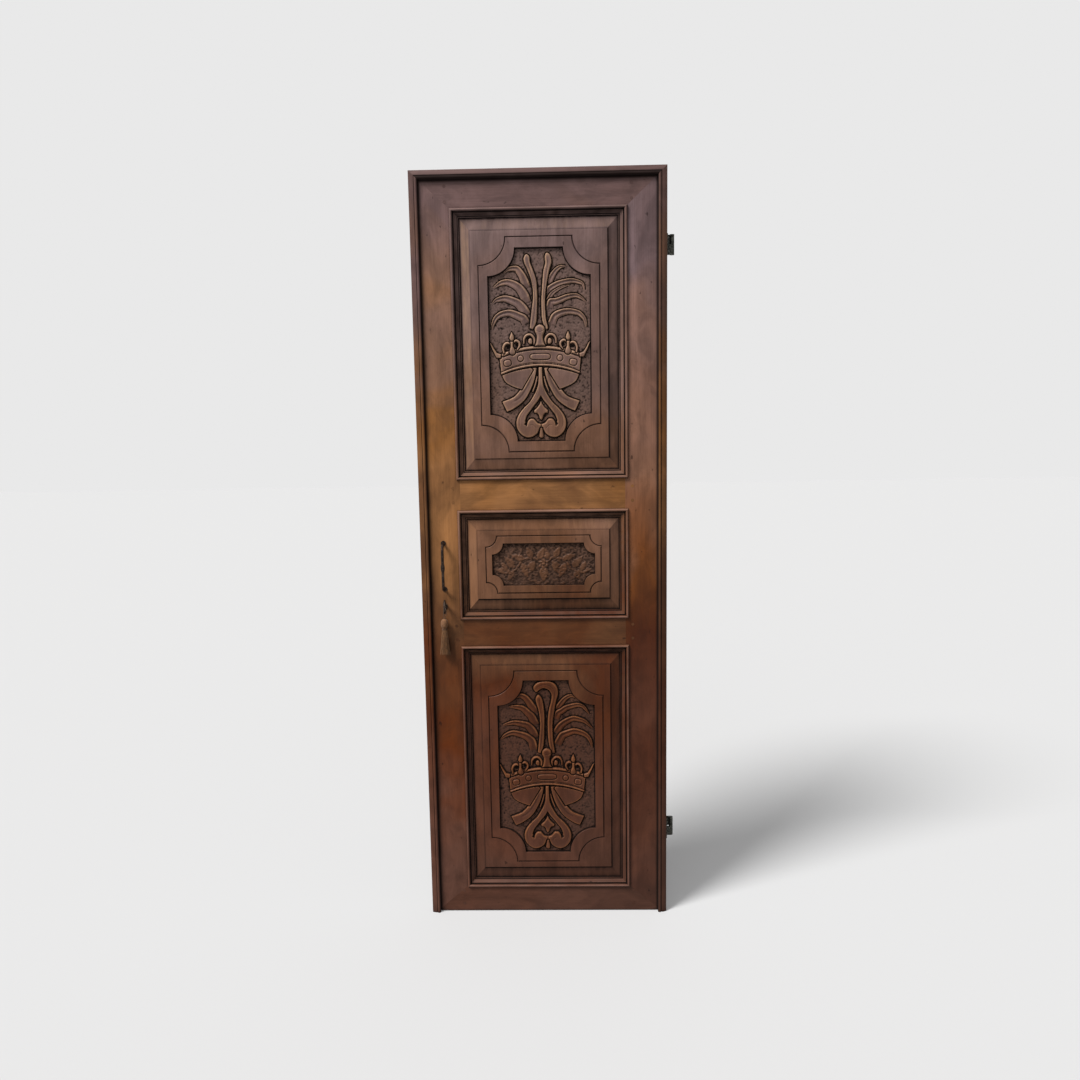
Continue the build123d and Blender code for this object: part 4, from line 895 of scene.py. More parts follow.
def hollow_outline(half_w, half_h, corner, grow, arc_cuts=24):
    """A rectangle with hollow corners, grown outward with the same corner centres."""
    radius = corner - grow
    quarter = []
    for angle in np.radians(np.linspace(270, 180, arc_cuts + 1)):
        quarter.append((half_w + radius * math.cos(angle), half_h + radius * math.sin(angle)))
    quarter = [(half_w + grow, half_h - radius)] + quarter + [(half_w - radius, half_h + grow)]
    ring = quarter + [(-x, y) for x, y in quarter[::-1]]
    return ring + [(-x, -y) for x, y in ring]


def is_in_recess(across, up, half_w, half_h, corner, slack):
    """Whether places lie in the recess, or within a little slack of it."""
    inside = (np.abs(across) <= half_w + slack) & (np.abs(up) <= half_h + slack)
    corner_gap = np.hypot(np.abs(across) - half_w, np.abs(up) - half_h)
    return inside & (corner_gap >= corner - slack)


print("points round one recess:", len(hollow_outline(TALL_RECESS[0] / 2, TALL_RECESS[1] / 2, 74.0, 0.0)))


# %% [markdown]
# A panel's plain parts need few faces, so they are built as rings: each ring is an outline
# at one depth, and two rings are bridged by a strip of faces. A flat part with a hole in it
# is filled with triangles. Only the recess holds the fine mesh of the carving. One fine
# grid over the whole board would be simpler, but much heavier, and its corners would step.

# %% Rings and faces of a panel
# Each step up a bevel: share of its rise, painted shade with dirt on all sides, and share of the side's own
# painted shade.
BEVEL_STEPS = ((0.0, 1.0, 0.0), (0.1, 0.6, 0.0), (0.22, 0.0, 1.0), (0.5, 0.0, 0.8), (0.84, 0.0, 1.2),
               (0.93, 0.15, 2.0), (1.0, 0.5, 1.4))


class Board:
    """Collects points and faces of one panel, in millimetres, flat on the door's front."""

    def __init__(self):
        self.points = []
        self.faces = []

    def ring(self, outline, y):
        """Adds an outline's points at one depth."""
        start = len(self.points)
        self.points += [(x, y, z) for x, z in outline]
        return list(range(start, start + len(outline)))

    def bridge(self, *rings):
        """Joins each ring to the next with a strip of faces."""
        for first, second in zip(rings, rings[1:]):
            count = len(first)
            for k in range(count):
                n = (k + 1) % count
                self.faces.append((first[k], first[n], second[n], second[k]))

    def fill(self, outer, inner=None):
        """Fills a flat outline, with a hole if one is given."""
        loops = [outer] + ([inner] if inner else [])
        order = [index for loop in loops for index in loop]
        places = [[self.points[index] for index in loop] for loop in loops]
        flat = [[Vector((x, z, 0)) for x, _, z in loop] for loop in places]
        for triangle in tessellate_polygon(flat):
            self.faces.append(tuple(order[corner] for corner in triangle))

    def add_bevel(self, foot, top, side_shade, side_light):
        """Four sloping sides: top, left, bottom and right. Each step up a side is a share of
        its rise, with painted shade and dirt that all sides have, a share of the side's own
        painted shade, and the side's own painted light where a step has no shade."""
        rings = []
        for share, dirt_and_shade, side_share in BEVEL_STEPS:
            size = [foot[k] + (top[k] - foot[k]) * share for k in (0, 1)]
            rings.append((rectangle(*size), TONGUE_Y + (RIM_Y - TONGUE_Y) * share, dirt_and_shade, side_share))
        found = []
        for side, (own_shade, light) in enumerate(zip(side_shade, side_light)):
            start = len(self.points)
            for outline, y, dirt_and_shade, side_share in rings:
                for corner in (side, (side + 1) % 4):
                    found.append((len(self.points), dirt_and_shade + own_shade * side_share, light * (dirt_and_shade == 0)))
                    self.points.append((outline[corner][0], y, outline[corner][1]))
            for k in range(len(rings) - 1):
                a = start + 2 * k
                self.faces.append((a, a + 1, a + 3, a + 2))
        return found

    def add_ground(self, ground, keep, uneven):
        """The carved mesh, where keep says so, which is a little under the recess's walls."""
        across, up = np.meshgrid(ground.x, ground.y)
        index = np.full(keep.shape, -1)
        index[keep] = len(self.points) + np.arange(keep.sum())
        depth = GROUND_Y - ground.height + uneven
        self.points += list(zip(across[keep].tolist(), depth[keep].tolist(), up[keep].tolist()))
        corners = [index[:-1, :-1], index[:-1, 1:], index[1:, 1:], index[1:, :-1]]
        quads = np.stack(corners, -1).reshape(-1, 4)
        quads = quads[(quads >= 0).all(axis=1)]
        self.faces += [tuple(quad) for quad in quads.tolist()]


print("steps up a bevel:", len(BEVEL_STEPS))


# %% [markdown]
# From back to front a panel has its back, the tongue that is held in the grooves of the
# rails and stiles, the bevel, a small rim and the flat field. Into the field the incised
# line and the recess are cut. Each of them is a list of outlines, given by how far it is
# grown from its corner centres, and its depth.

# %% Laying out a panel
TONGUE_LAP = 9
BACK_INSET = 3
BEVEL_FOOT = 15
BEVEL_WIDE = 45
BEVEL_HIGH = 50
INCISED_LINE = ((2.2, FIELD_Y), (1.2, LINE_Y), (-0.4, LINE_Y), (-2.4, FIELD_Y))
RECESS_WALL = ((0.6, FIELD_Y), (0.1, FIELD_Y + 0.5), (0.1, WALL_FOOT_Y))
BAND_EXTRA = 4.0


def lay_board(board, edge_w, edge_h, side_shade, side_light):
    """The board without its recess. Gives the field's edge, and the bevel's painted shade, dirt and painted
    light.
    """
    open_w, open_h = edge_w - TONGUE_LAP, edge_h - TONGUE_LAP
    back = (open_w - BACK_INSET, open_h - BACK_INSET)
    foot = (open_w - BEVEL_FOOT, open_h - BEVEL_FOOT)
    field = (open_w - BEVEL_WIDE, open_h - BEVEL_HIGH)
    sizes = [(back, BACK_Y), (back, TONGUE_BACK_Y), ((edge_w, edge_h), TONGUE_BACK_Y),
             ((edge_w, edge_h), TONGUE_Y), (foot, TONGUE_Y), (field, RIM_Y), (field, FIELD_Y + 0.25),
             ((field[0] - 0.8, field[1] - 0.8), FIELD_Y)]
    rings = [board.ring(rectangle(*size), y) for size, y in sizes]
    board.bridge(*rings[:5])
    board.bridge(*rings[5:])
    bevel = board.add_bevel(foot, field, side_shade, side_light)
    board.fill(rings[0])
    return rings[-1], bevel


def cut_recess(board, field_edge, half_w, half_h, corner, band):
    """The incised line, the flat band inside it and the walls of the recess."""
    line_w, line_h = half_w + band, half_h + band + BAND_EXTRA
    line = [board.ring(hollow_outline(line_w, line_h, corner, grow), y) for grow, y in INCISED_LINE]
    wall = [board.ring(hollow_outline(half_w, half_h, corner, grow), y) for grow, y in RECESS_WALL]
    board.fill(field_edge, line[0])
    board.bridge(*line)
    board.fill(line[-1], wall[0])
    board.bridge(*wall)


print("outlines in an incised line:", len(INCISED_LINE), "and in a wall:", len(RECESS_WALL))


# %% [markdown]
# The finish needs to know where the carving is hollow, for dirt and painted shade, where it
# stands proud, for wear and a painted highlight, and where the low ground lies, for a grey
# painted shade. All three come from the height map. A place that is lower than the blurred
# map round it is hollow, and one that is higher is proud. A wide blur finds the broad
# valleys, and a tight one finds the fine edges.

# %% Hollow, proud and low places
# Painted shade and dirt at the incised line, the recess wall's foot, the bevel's foot and the field's rim.
DEPTH_DIRT_AND_SHADE = {LINE_Y: 0.66, WALL_FOOT_Y: 1.0, TONGUE_Y: 0.95, RIM_Y: 0.7}


def carved_numbers(ground, rough, by_wall, floor_dirt_and_shade, even_dirt, speckle, dirt_and_shade_share):
    """How hollow, proud and low each cell of a carved ground is. Dirt and painted shade lie
    on the low floor and along the walls, with a speckle; dirt also lies evenly over everything,
    and a share of it all is kept."""
    wide = blurred(ground.height, 4) - ground.height
    tight = blurred(ground.height, 1) - ground.height
    hollow = np.clip(wide / 2.4, 0, 1) * 0.75 + np.clip(tight / 0.7, 0, 1) * 0.55
    hollow += np.clip((0.1 - ground.height) / 1.2, 0, 1) * 0.9
    hollow += np.clip(1 - ground.height / 1.2, 0, 1) * (floor_dirt_and_shade + speckle * rough) + even_dirt
    hollow = np.clip(np.maximum(hollow * 0.85, ground.shade) + by_wall, 0, 1) * dirt_and_shade_share
    proud = np.clip(-wide / 2.4, 0, 1) * 0.5 + np.clip(-tight / 0.35, 0, 1) * 0.5
    return hollow, proud * (1 - 2 * even_dirt), np.clip(1 - ground.height / 1.6, 0, 1)


def plain_numbers(board, bevel):
    """The same for the points of the plain board, from their depth and place on the bevel."""
    depths = np.array([point[1] for point in board.points])
    hollow = sum(np.isclose(depths, y) * dirt_and_shade for y, dirt_and_shade in DEPTH_DIRT_AND_SHADE.items())
    proud = np.zeros(len(depths))
    for index, dirt_and_shade, light in bevel:
        hollow[index] = dirt_and_shade
        proud[index] = light
    return hollow, proud, np.zeros(len(depths))


print("depths with dirt of their own:", len(DEPTH_DIRT_AND_SHADE))


# %% [markdown]
# Each panel is put together from these parts and takes the place of its plain measured
# solid. The three differ in how much dirt and painted shade lie on the ground, how speckled
# it is, and how much painted shade and painted light each side of the bevel gets: top, left,
# bottom and right.

# %% The three carved panels
PANELS = {
    "upper": {
        "recess": TALL_RECESS, "corner": 74.0, "band": 24.0, "ground": upper_ground, "seed": 3,
        "dirt_and_shade": {"floor_dirt_and_shade": 0.14, "even_dirt": 0.0, "speckle": 0.7, "dirt_and_shade_share": 1.0},
        "side_shade": (0.06, 0.0, 0.16, 0.4), "side_light": (0.2, 0.5, 0.1, 0.0),
    },
    "middle": {
        "recess": SMALL_RECESS, "corner": 31.0, "band": 17.0, "ground": middle_ground, "seed": 5,
        "dirt_and_shade": {"floor_dirt_and_shade": 0.12, "even_dirt": 0.56, "speckle": 0.4, "dirt_and_shade_share": 0.6},
        "side_shade": (0.0, 0.0, 0.45, 0.3), "side_light": (0.34, 0.8, 0.0, 0.1),
    },
    "lower": {
        "recess": TALL_RECESS, "corner": 74.0, "band": 24.0, "ground": lower_ground, "seed": 7,
        "dirt_and_shade": {"floor_dirt_and_shade": 0.14, "even_dirt": 0.04, "speckle": 0.6, "dirt_and_shade_share": 1.0},
        "side_shade": (0.1, 0.12, 0.4, 0.36), "side_light": (0.15, 0.1, 0.0, 0.0),
    },
}
DEEPEST_CUT = -3.0
HIGHEST_FORM = 7.6
WALL_LAP = 0.9
# The width of a band of painted shade inside the recess wall, in millimetres.
WALL_SHADE = 3.0


def make_panel(name, recess, corner, band, ground, seed, dirt_and_shade, side_shade, side_light):
    """One carved panel, which stands for the plain solid of the same name."""
    low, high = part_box(f"panel_{name}")
    centre_z = (low[2] + high[2]) / 2 / MM
    half_w, half_h = recess[0] / 2, recess[1] / 2
    edge_w, edge_h = (high[0] - low[0]) / 2 / MM, (high[2] - low[2]) / 2 / MM
    board = Board()
    field_edge, bevel = lay_board(board, edge_w, edge_h, side_shade, side_light)
    cut_recess(board, field_edge, half_w, half_h, corner, band)
    plain = plain_numbers(board, bevel)
    flat_faces = len(board.faces)
    chance = np.random.default_rng(seed)
    rough = blurred(chance.normal(0, 1, ground.height.shape), 1) * 1.5
    slow = blurred(chance.normal(0, 1, ground.height.shape), 9)
    flat = np.clip(1 - np.abs(ground.height) / 0.8, 0, 1)
    across, up = np.meshgrid(ground.x, ground.y)
    keep = is_in_recess(across, up, half_w, half_h, corner, WALL_LAP)
    by_wall = ~is_in_recess(across, up, half_w, half_h, corner, -WALL_SHADE)
    board.add_ground(ground, keep, rough * (0.05 + 0.4 * flat) + slow * 3.0)
    points = [(x * MM, y * MM, (z + centre_z) * MM) for x, y, z in board.points]
    piece = new_piece(f"carved_panel_{name}", points, board.faces, "leaf", 0.75, flat_faces)
    carved = carved_numbers(ground, rough, by_wall, **dirt_and_shade)
    for number, on_board, on_carving in zip(("hollow", "proud", "low_ground_shade"), plain, carved):
        store_number(piece, number, np.concatenate([on_board, on_carving[keep]]))
    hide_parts(f"panel_{name}")
    print(piece.name, len(board.faces), "faces")
    return piece


carved_walnut = walnut("walnut_carved", "Z", 41.0, painted=True, roughness=0.45, ageing_and_sheen=PANEL_AGEING_AND_PAINTED_SHEEN)
for name, panel in PANELS.items():
    carved = panel["ground"].height
    np.clip(carved, DEEPEST_CUT, HIGHEST_FORM, out=carved)
    wear(make_panel(name, **panel), carved_walnut)


# %% [markdown]
# A moulding frames each panel: a bead beside the board, then a small step and a
# sloping curve that go down to the bevel. Dirt and painted shade fill the channels between
# them, the slopes get more painted shade on the left and top sides, and the bead gets wear
# with a painted highlight that differs from side to side and panel to panel, which gives the
# fine light and dark lines. Each length is one section drawn out and cut to a mitre at both
# ends. The shade and highlight change a little from cut to cut along it, so that no line
# looks ruled.

# %% The moulding's section
# Each point is: millimetres outward, depth, dirt with painted shade, and wear with painted highlight. None is
# the slope's own painted shade.
MOULDING_SECTION = [
    (24.0, 0.6, 0.6, 0), (24.0, -1.8, 0.1, 0), (23.3, -5.2, 0.0, 0.5), (21.8, -7.4, 0.0, 0.9),
    (19.8, -8.0, 0.0, 1.0), (17.8, -7.4, 0.0, 0.7), (16.3, -5.6, 0.1, 0.1), (15.6, -3.2, 0.7, 0),
    (15.4, 1.2, 1.0, 0), (12.7, 1.4, 1.0, 0), (12.6, -0.4, 0.6, 0.0), (12.0, -0.9, None, 0.3),
    (10.8, -0.2, None, 0.2), (9.2, 1.2, None, 0.2), (7.4, 2.8, None, 0.2), (5.8, 4.0, None, 0.2),
    (4.4, 4.7, None, 0.2), (3.8, 5.0, 0.5, 0.0), (3.6, 6.8, 1.0, 0), (1.5, 7.0, 1.0, 0),
    (1.4, 6.4, 0.4, 0.0), (0.8, 6.3, 0.1, 0.3), (0.3, 6.6, 0.2, 0), (0.1, 8.8, 1.0, 0),
    (0.0, 9.9, 1.0, 0), (14.9, 9.9, 1.0, 0), (14.9, 0.6, 1.0, 0),
]
BEAD_FOOT = 15.5
# Painted shade on the sloping curve for each side, most on the left and top.
SLOPE_SHADE = {"left": 0.42, "right": 0.12, "top": 0.5, "bottom": 0.16}
# Painted highlight on the bead for each panel and side.
BEAD_LIGHT = {"upper": {"left": 0.25, "top": 0.25, "right": 0.55, "bottom": 0.55},
              "middle": {"left": 0.6, "top": 0.9, "right": 0.9, "bottom": 1.0},
              "lower": {"left": 0.45, "top": 0.8, "right": 0.7, "bottom": 0.9}}
MOULDING_REACH = 15.0
MOULDING_LAP = 9.0
MOULDING_CUTS = 28
print("points in the section:", len(MOULDING_SECTION))


# %% Mouldings
def tube_faces(count, cuts):
    """Faces of a closed drawn-out section: its sides, then its two ends."""
    faces = []
    for cut in range(cuts):
        a, b = cut * count, (cut + 1) * count
        for k in range(count):
            n = (k + 1) % count
            faces.append((a + k, b + k, b + n, a + n))
    faces.append(tuple(range(count)))
    faces.append(tuple(cuts * count + k for k in reversed(range(count))))
    return faces


def make_moulding(name, half_across, half_along, side, centre_z):
    """One mitred length on one side of an opening, which stands for its plain solid."""
    chance = random.Random(name + side)
    points, hollow, proud = [], [], []
    for cut in range(MOULDING_CUTS + 1):
        share = cut / MOULDING_CUTS * 2 - 1
        dirt_and_shade = chance.uniform(-0.12, 0.12)
        for outward, y, dark, light in MOULDING_SECTION:
            far = half_across - MOULDING_REACH + outward
            along = (half_along - MOULDING_REACH + outward) * share
            places = {"left": (-far, along), "right": (far, -along),
                      "top": (along, far), "bottom": (-along, -far)}
            x, z = places[side]
            points.append((x * MM, y * MM, (z + centre_z) * MM))
            dark = SLOPE_SHADE[side] if dark is None else dark
            hollow.append(dark + dirt_and_shade * (0 < dark < 1))
            proud.append((light + dirt_and_shade) * (BEAD_LIGHT[name][side] if outward > BEAD_FOOT else 1.0))
    faces = tube_faces(len(MOULDING_SECTION), MOULDING_CUTS)
    piece = new_piece(f"moulded_{name}_{side}", points, faces, "leaf", 0.9)
    store_number(piece, "hollow", hollow)
    store_number(piece, "proud", proud)
    return piece


MOULDING_WALNUT = {
    along: walnut(f"walnut_moulding_{word}", along, shift, painted=True, roughness=0.36,
                  ageing_and_sheen=PANEL_AGEING_AND_PAINTED_SHEEN, rub_and_highlight_tones=RUBBED_AND_HIGHLIT_BEAD)
    for word, along, shift in (("upright", "Z", 31.0), ("across", "X", 33.0))
}
for name in PANELS:
    low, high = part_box(f"moulding_{name}_left")
    half_high = (high[2] - low[2]) / 2 / MM - MOULDING_LAP
    centre_z = (high[2] + low[2]) / 2 / MM
    low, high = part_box(f"moulding_{name}_top")
    half_wide = (high[0] - low[0]) / 2 / MM - MOULDING_LAP
    for side in SLOPE_SHADE:
        upright = side in ("left", "right")
        halves = (half_wide, half_high) if upright else (half_high, half_wide)
        moulding = make_moulding(name, *halves, side, centre_z)
        wear(moulding, MOULDING_WALNUT["Z" if upright else "X"])
        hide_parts(f"moulding_{name}_{side}")
print("mouldings made:", len(PANELS) * len(SLOPE_SHADE))


# %% [markdown]
# The ironwork is forged and blackened. It is metal, but its skin is dull with small
# hammer marks, and it shines a little only where hands have rubbed it. A few rust stains
# lie over that. The measured solids already have the right shape, so iron is only a
# finish, with the hammer marks as bump.

# %% Iron
RUST = tone(72, 44, 30)


def iron(name, colour, rub, roughness):
    """Dull forged iron, with rubbed places, hammer marks and a little rust."""
    finish = Finish(name, roughness, 0.85)
    even = finish.stretched((1, 1, 1))
    marks = finish.cells(even, 160.0)
    skin = finish.noise(even, 220.0, 5.0, 0.6)
    body = finish.blend(finish.span(skin, (0.42, 0.66)), colour, rub)
    body = finish.blend(finish.span(finish.noise(finish.place, 60.0), (0.58, 0.72), (0.0, 0.5)), body, RUST)
    finish.colour(body)
    finish.roughness(finish.span(skin, (0.3, 0.7), (roughness + 0.14, roughness - 0.1)))
    finish.bump((marks, 0.0006, 0.5), (skin, 0.0003, 0.4))
    return finish.material


IRONWORK = (
    (iron("black_iron", tone(32, 25, 22), tone(66, 54, 48), 0.55),
     ("pull_handle", "pull_roses", "pull_washers")),
    (iron("lock_iron", tone(36, 28, 24), tone(74, 62, 54), 0.5),
     ("key", "lock_plate", "lock_case", "lock_bolt", "bolt_spring", "lock_nails", "keeper", "keeper_nails")),
    (iron("hinge_iron", tone(40, 40, 36), tone(80, 81, 75), 0.5),
     ("hinge_leaf_upper", "hinge_leaf_lower", "pintle_upper", "pintle_lower", "hinge_nails", "pintle_nails")),
)
for material, names in IRONWORK:
    for name in names:
        wear(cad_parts[name], material)
    print(material.name, "on", len(names), "pieces")


# %% [markdown]
# The tassel hangs from the key. Thread is matt and furry, so its finish has a little sheen,
# and its fibres are noise stretched along the way that the thread runs: round the head, and
# down the skirt.

# %% Thread finishes
def thread(name, light, dark, stretch):
    """Matt thread with fine fibres."""
    finish = Finish(name, 0.82)
    fibre = finish.noise(finish.stretched(stretch), 1.0, 5.0, 0.65)
    finish.colour(finish.blend(finish.span(fibre, (0.36, 0.66)), dark, light))
    finish.bump((fibre, 0.0005, 0.6))
    finish.shader.inputs["Sheen Weight"].default_value = 0.12
    finish.shader.inputs["Sheen Roughness"].default_value = 0.4
    return finish.material


cord_finish = thread("tan_cord", tone(108, 74, 46), tone(54, 34, 22), (700, 700, 700))
head_finish = thread("tan_wound_thread", tone(144, 100, 62), tone(74, 46, 28), (500, 500, 1400))
skirt_finish = thread("tan_loose_thread", tone(136, 94, 54), tone(68, 42, 24), (900, 900, 90))
print("thread finishes:", cord_finish.name, head_finish.name, skirt_finish.name)


# %% [markdown]
# The tassel's loop is a limp twisted cord that goes from the tassel's head over the key's
# neck and back. A few points pull on a smooth curve, which is its route. The curve is then
# cut into even steps, so that the twist has the same pitch all the way.

# %% The loop's route
KEY_X = -278.5
KEY_Z = 928.0
KEY_NECK_Y = -14.0
KEY_NECK_RADIUS = 3.25
CORD_RADIUS = 1.25
TASSEL_X = KEY_X - 4.2
TASSEL_Y = -16.8
TASSEL_TOP = KEY_Z - 37.0
OVER_Y = KEY_NECK_Y + 2.5 * CORD_RADIUS
OVER_Z = KEY_Z + KEY_NECK_RADIUS + CORD_RADIUS + 0.3
LOOP_ROUTE = [
    (TASSEL_X - 1.6, TASSEL_Y, TASSEL_TOP),
    (TASSEL_X - 2.1, TASSEL_Y + 3.0, TASSEL_TOP + 22),
    (KEY_X - 6.5, OVER_Y, OVER_Z),
    (KEY_X + 6.5, OVER_Y, OVER_Z),
    (TASSEL_X + 8.2, TASSEL_Y + 3.0, TASSEL_TOP + 22),
    (TASSEL_X + 1.6, TASSEL_Y, TASSEL_TOP),
]


def route_points(route, name):
    """Even points along the smooth line that a route's points pull on."""
    data = bpy.data.curves.new(name, "CURVE")
    data.dimensions = "3D"
    data.resolution_u = 12
    spline = data.splines.new("NURBS")
    spline.points.add(len(route) - 1)
    for point, (x, y, z) in zip(spline.points, route):
        point.co = (x * MM, y * MM, z * MM, 1.0)
    spline.order_u = 3
    spline.use_endpoint_u = True
    holder = bpy.data.objects.new(name, data)
    mesh = bpy.data.meshes.new_from_object(holder)
    points = [vertex.co.copy() for vertex in mesh.vertices]
    bpy.data.objects.remove(holder)
    bpy.data.meshes.remove(mesh)
    return points


def resampled(points, step):
    """Points at even steps along a line, and the line's length."""
    gaps = [0.0]
    for a, b in zip(points, points[1:]):
        gaps.append(gaps[-1] + (b - a).length)
    count = max(2, int(gaps[-1] / step))
    wanted = np.linspace(0, gaps[-1], count + 1)
    coords = np.array([tuple(p) for p in points])
    return [Vector([np.interp(w, gaps, coords[:, k]) for k in range(3)]) for w in wanted], gaps[-1]


loop_line, loop_length = resampled(route_points(LOOP_ROUTE, "loop_route"), 0.5 * MM)
print("loop length", round(loop_length, 4))


# %% [markdown]
# A cord is three strands wound round each other. Each strand is a thin tube along a line
# that circles the route. To circle it, the line needs two directions square to the route at
# every point, which turn as little as they can from one point to the next. A plain round
# tube with a striped picture on it would look right from afar, but not at the outline.

# %% The twisted loop
def frames_along(points):
    """Each point of a line with two directions square to it, which hardly turn."""
    frames = []
    normal = Vector((1, 0, 0))
    for index, point in enumerate(points):
        ahead = (points[min(index + 1, len(points) - 1)] - points[max(index - 1, 0)]).normalized()
        normal = normal - ahead * normal.dot(ahead)
        if normal.length < 1e-6:
            normal = ahead.orthogonal()
        normal = normal.normalized()
        frames.append((point, normal, ahead.cross(normal)))
    return frames


def round_about(frame_here, angle, radius):
    """A place at an angle and a radius round a line's point."""
    point, normal, other = frame_here
    return point + (normal * math.cos(angle) + other * math.sin(angle)) * radius


def tube(points, radii, sides, shift=0):
    """Points and faces of a closed tube along a line, with a radius at each point."""
    verts, faces = [], []
    for frame_here, radius in zip(frames_along(points), radii):
        for k in range(sides):
            verts.append(tuple(round_about(frame_here, 2 * math.pi * k / sides, radius)))
    for index in range(len(points) - 1):
        a, b = shift + index * sides, shift + (index + 1) * sides
        for k in range(sides):
            n = (k + 1) % sides
            faces.append((a + k, a + n, b + n, b + k))
    faces.append(tuple(shift + k for k in reversed(range(sides))))
    last = shift + (len(points) - 1) * sides
    faces.append(tuple(last + k for k in range(sides)))
    return verts, faces


def twisted(points, strands, strand_radius, lay_radius, pitch, sides=6):
    """Several strands wound round a line."""
    runs = [0.0]
    for a, b in zip(points, points[1:]):
        runs.append(runs[-1] + (b - a).length)
    verts, faces = [], []
    for strand in range(strands):
        line = [round_about(frame_here, 2 * math.pi * (strand / strands + run / pitch), lay_radius)
                for frame_here, run in zip(frames_along(points), runs)]
        more_verts, more_faces = tube(line, [strand_radius] * len(line), sides, len(verts))
        verts += more_verts
        faces += more_faces
    return verts, faces


loop_verts, loop_faces = twisted(loop_line, 3, 0.62 * MM, 0.62 * MM, 7 * MM)
tassel_cord = new_piece("tassel_cord", loop_verts, loop_faces, "leaf", 1.2)
wear(tassel_cord, cord_finish)
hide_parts("tassel_loop")
print("faces in the loop:", len(loop_faces))


# %% [markdown]
# The head is a wooden ball covered with wound thread, and the binding below it is a few
# turns of cord. Both are turned shapes with a fine spiral ridge. The ridge could be bump,
# but it shows at the outline from close by, so each turn of thread has a few rows of
# points of its own.

# %% The wound head and its binding
HEAD_SHARES = [0, 0.06, 0.16, 0.33, 0.5, 0.7, 0.88, 1.0]
HEAD_SWELL = [0.36, 0.6, 0.84, 0.97, 1.0, 0.93, 0.74, 0.56]
HEAD_RADIUS = 10.5
BAND_RADIUS = 7.6
WOBBLE = 0.0144
HEAD_TOP = TASSEL_TOP - 0.3
HEAD_FOOT = HEAD_TOP - 28.0
BAND_FOOT = HEAD_FOOT - 3.5


def head_radius(share):
    """Radius of the head at a share of its height from the top."""
    return HEAD_RADIUS * np.interp(share, HEAD_SHARES, HEAD_SWELL)


def band_radius(share):
    """Radius of the binding, the same at every share of its height."""
    return BAND_RADIUS


def on_tassel(radius, angle, z):
    """A place round the tassel's middle line, in metres."""
    return ((TASSEL_X + radius * math.cos(angle)) * MM, (TASSEL_Y + radius * math.sin(angle)) * MM, z * MM)


def wound_round(name, top, foot, radius, turns, rows_per_turn=6, bead=0.35, sides=72):
    """A form wound with thread: a turned shape with a fine spiral ridge."""
    rows = int(turns * rows_per_turn)
    verts = []
    for row in range(rows + 1):
        share = row / rows
        for k in range(sides):
            a = 2 * math.pi * k / sides
            ripple = abs(math.sin(math.pi * (share * turns + k / sides)))
            r = radius(share) - bead + bead * ripple + WOBBLE * math.sin(a * 3 + share * 7)
            verts.append(on_tassel(r, a, top + (foot - top) * share))
    return new_piece(name, verts, tube_faces(sides, rows), "leaf", 1.2)


head = wound_round("tassel_ball", HEAD_TOP, HEAD_FOOT, head_radius, 19)
wear(head, head_finish)
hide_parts("tassel_head")
band = wound_round("tassel_binding", HEAD_FOOT, BAND_FOOT, band_radius, 4, rows_per_turn=8, bead=0.5)
wear(band, cord_finish)
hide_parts("tassel_band")
print("points on the head:", len(head.data.vertices), "and on the binding:", len(band.data.vertices))


# %% [markdown]
# The skirt is a bundle of loose threads tied below the head. They hang in three rings, one
# inside another, and each thread is a thin tube with its own small drift and length, from a
# seeded chance. Hair curves would be quicker to draw, but tubes are plain mesh, which every
# later use of the door can read.

# %% The loose threads
SKIRT_HEM = BAND_FOOT - 72.0
SKIRT_RINGS = ((46, 0.98), (34, 0.72), (20, 0.42))
THREAD_STEPS = 8
THREAD_RADII = [0.52 * MM] * THREAD_STEPS + [0.36 * MM]


def make_skirt():
    """Many thin threads that hang from the binding, a little uneven and splayed."""
    chance = random.Random(11)
    verts, faces = [], []
    for ring_index, (count, top_share) in enumerate(SKIRT_RINGS):
        for k in range(count):
            a = 2 * math.pi * (k + chance.uniform(-0.3, 0.3)) / count
            hem_r = (15.0 - 4.0 * ring_index) * chance.uniform(0.86, 0.99)
            top_r = 6.9 * top_share
            drift = chance.uniform(-0.10, 0.10)
            length = chance.uniform(0.94, 1.0)
            line = []
            for step in range(THREAD_STEPS + 1):
                u = step / THREAD_STEPS
                bulge = 0.6 * math.sin(math.pi * min(1, u * 1.6)) * chance.uniform(0.6, 1.2)
                r = top_r + (hem_r - top_r) * (u ** 1.15) + bulge * 0.5
                angle = a + drift * u + 0.02 * math.sin(7 * u + k)
                z = BAND_FOOT - (BAND_FOOT - SKIRT_HEM) * u * length
                line.append(Vector(on_tassel(r, angle, z)))
            more_verts, more_faces = tube(line, THREAD_RADII, 5, len(verts))
            verts += more_verts
            faces += more_faces
    return new_piece("tassel_threads", verts, faces, "leaf", 1.3)


skirt = make_skirt()
wear(skirt, skirt_finish)
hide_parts("tassel_skirt")
print("threads in the skirt:", sum(count for count, _ in SKIRT_RINGS))


# %% [markdown]
# The room is a plain pale floor and soft lamps. The main light comes from high up at the
# left, in front of the door, so that every moulding has a lit side and a dark side. What
# the eye sees of the floor and the background is pale paper and white, but stray light
# comes from a duller floor and a dim glow, so that the dark wood keeps its depth. A light
# path node tells the two kinds of ray apart.

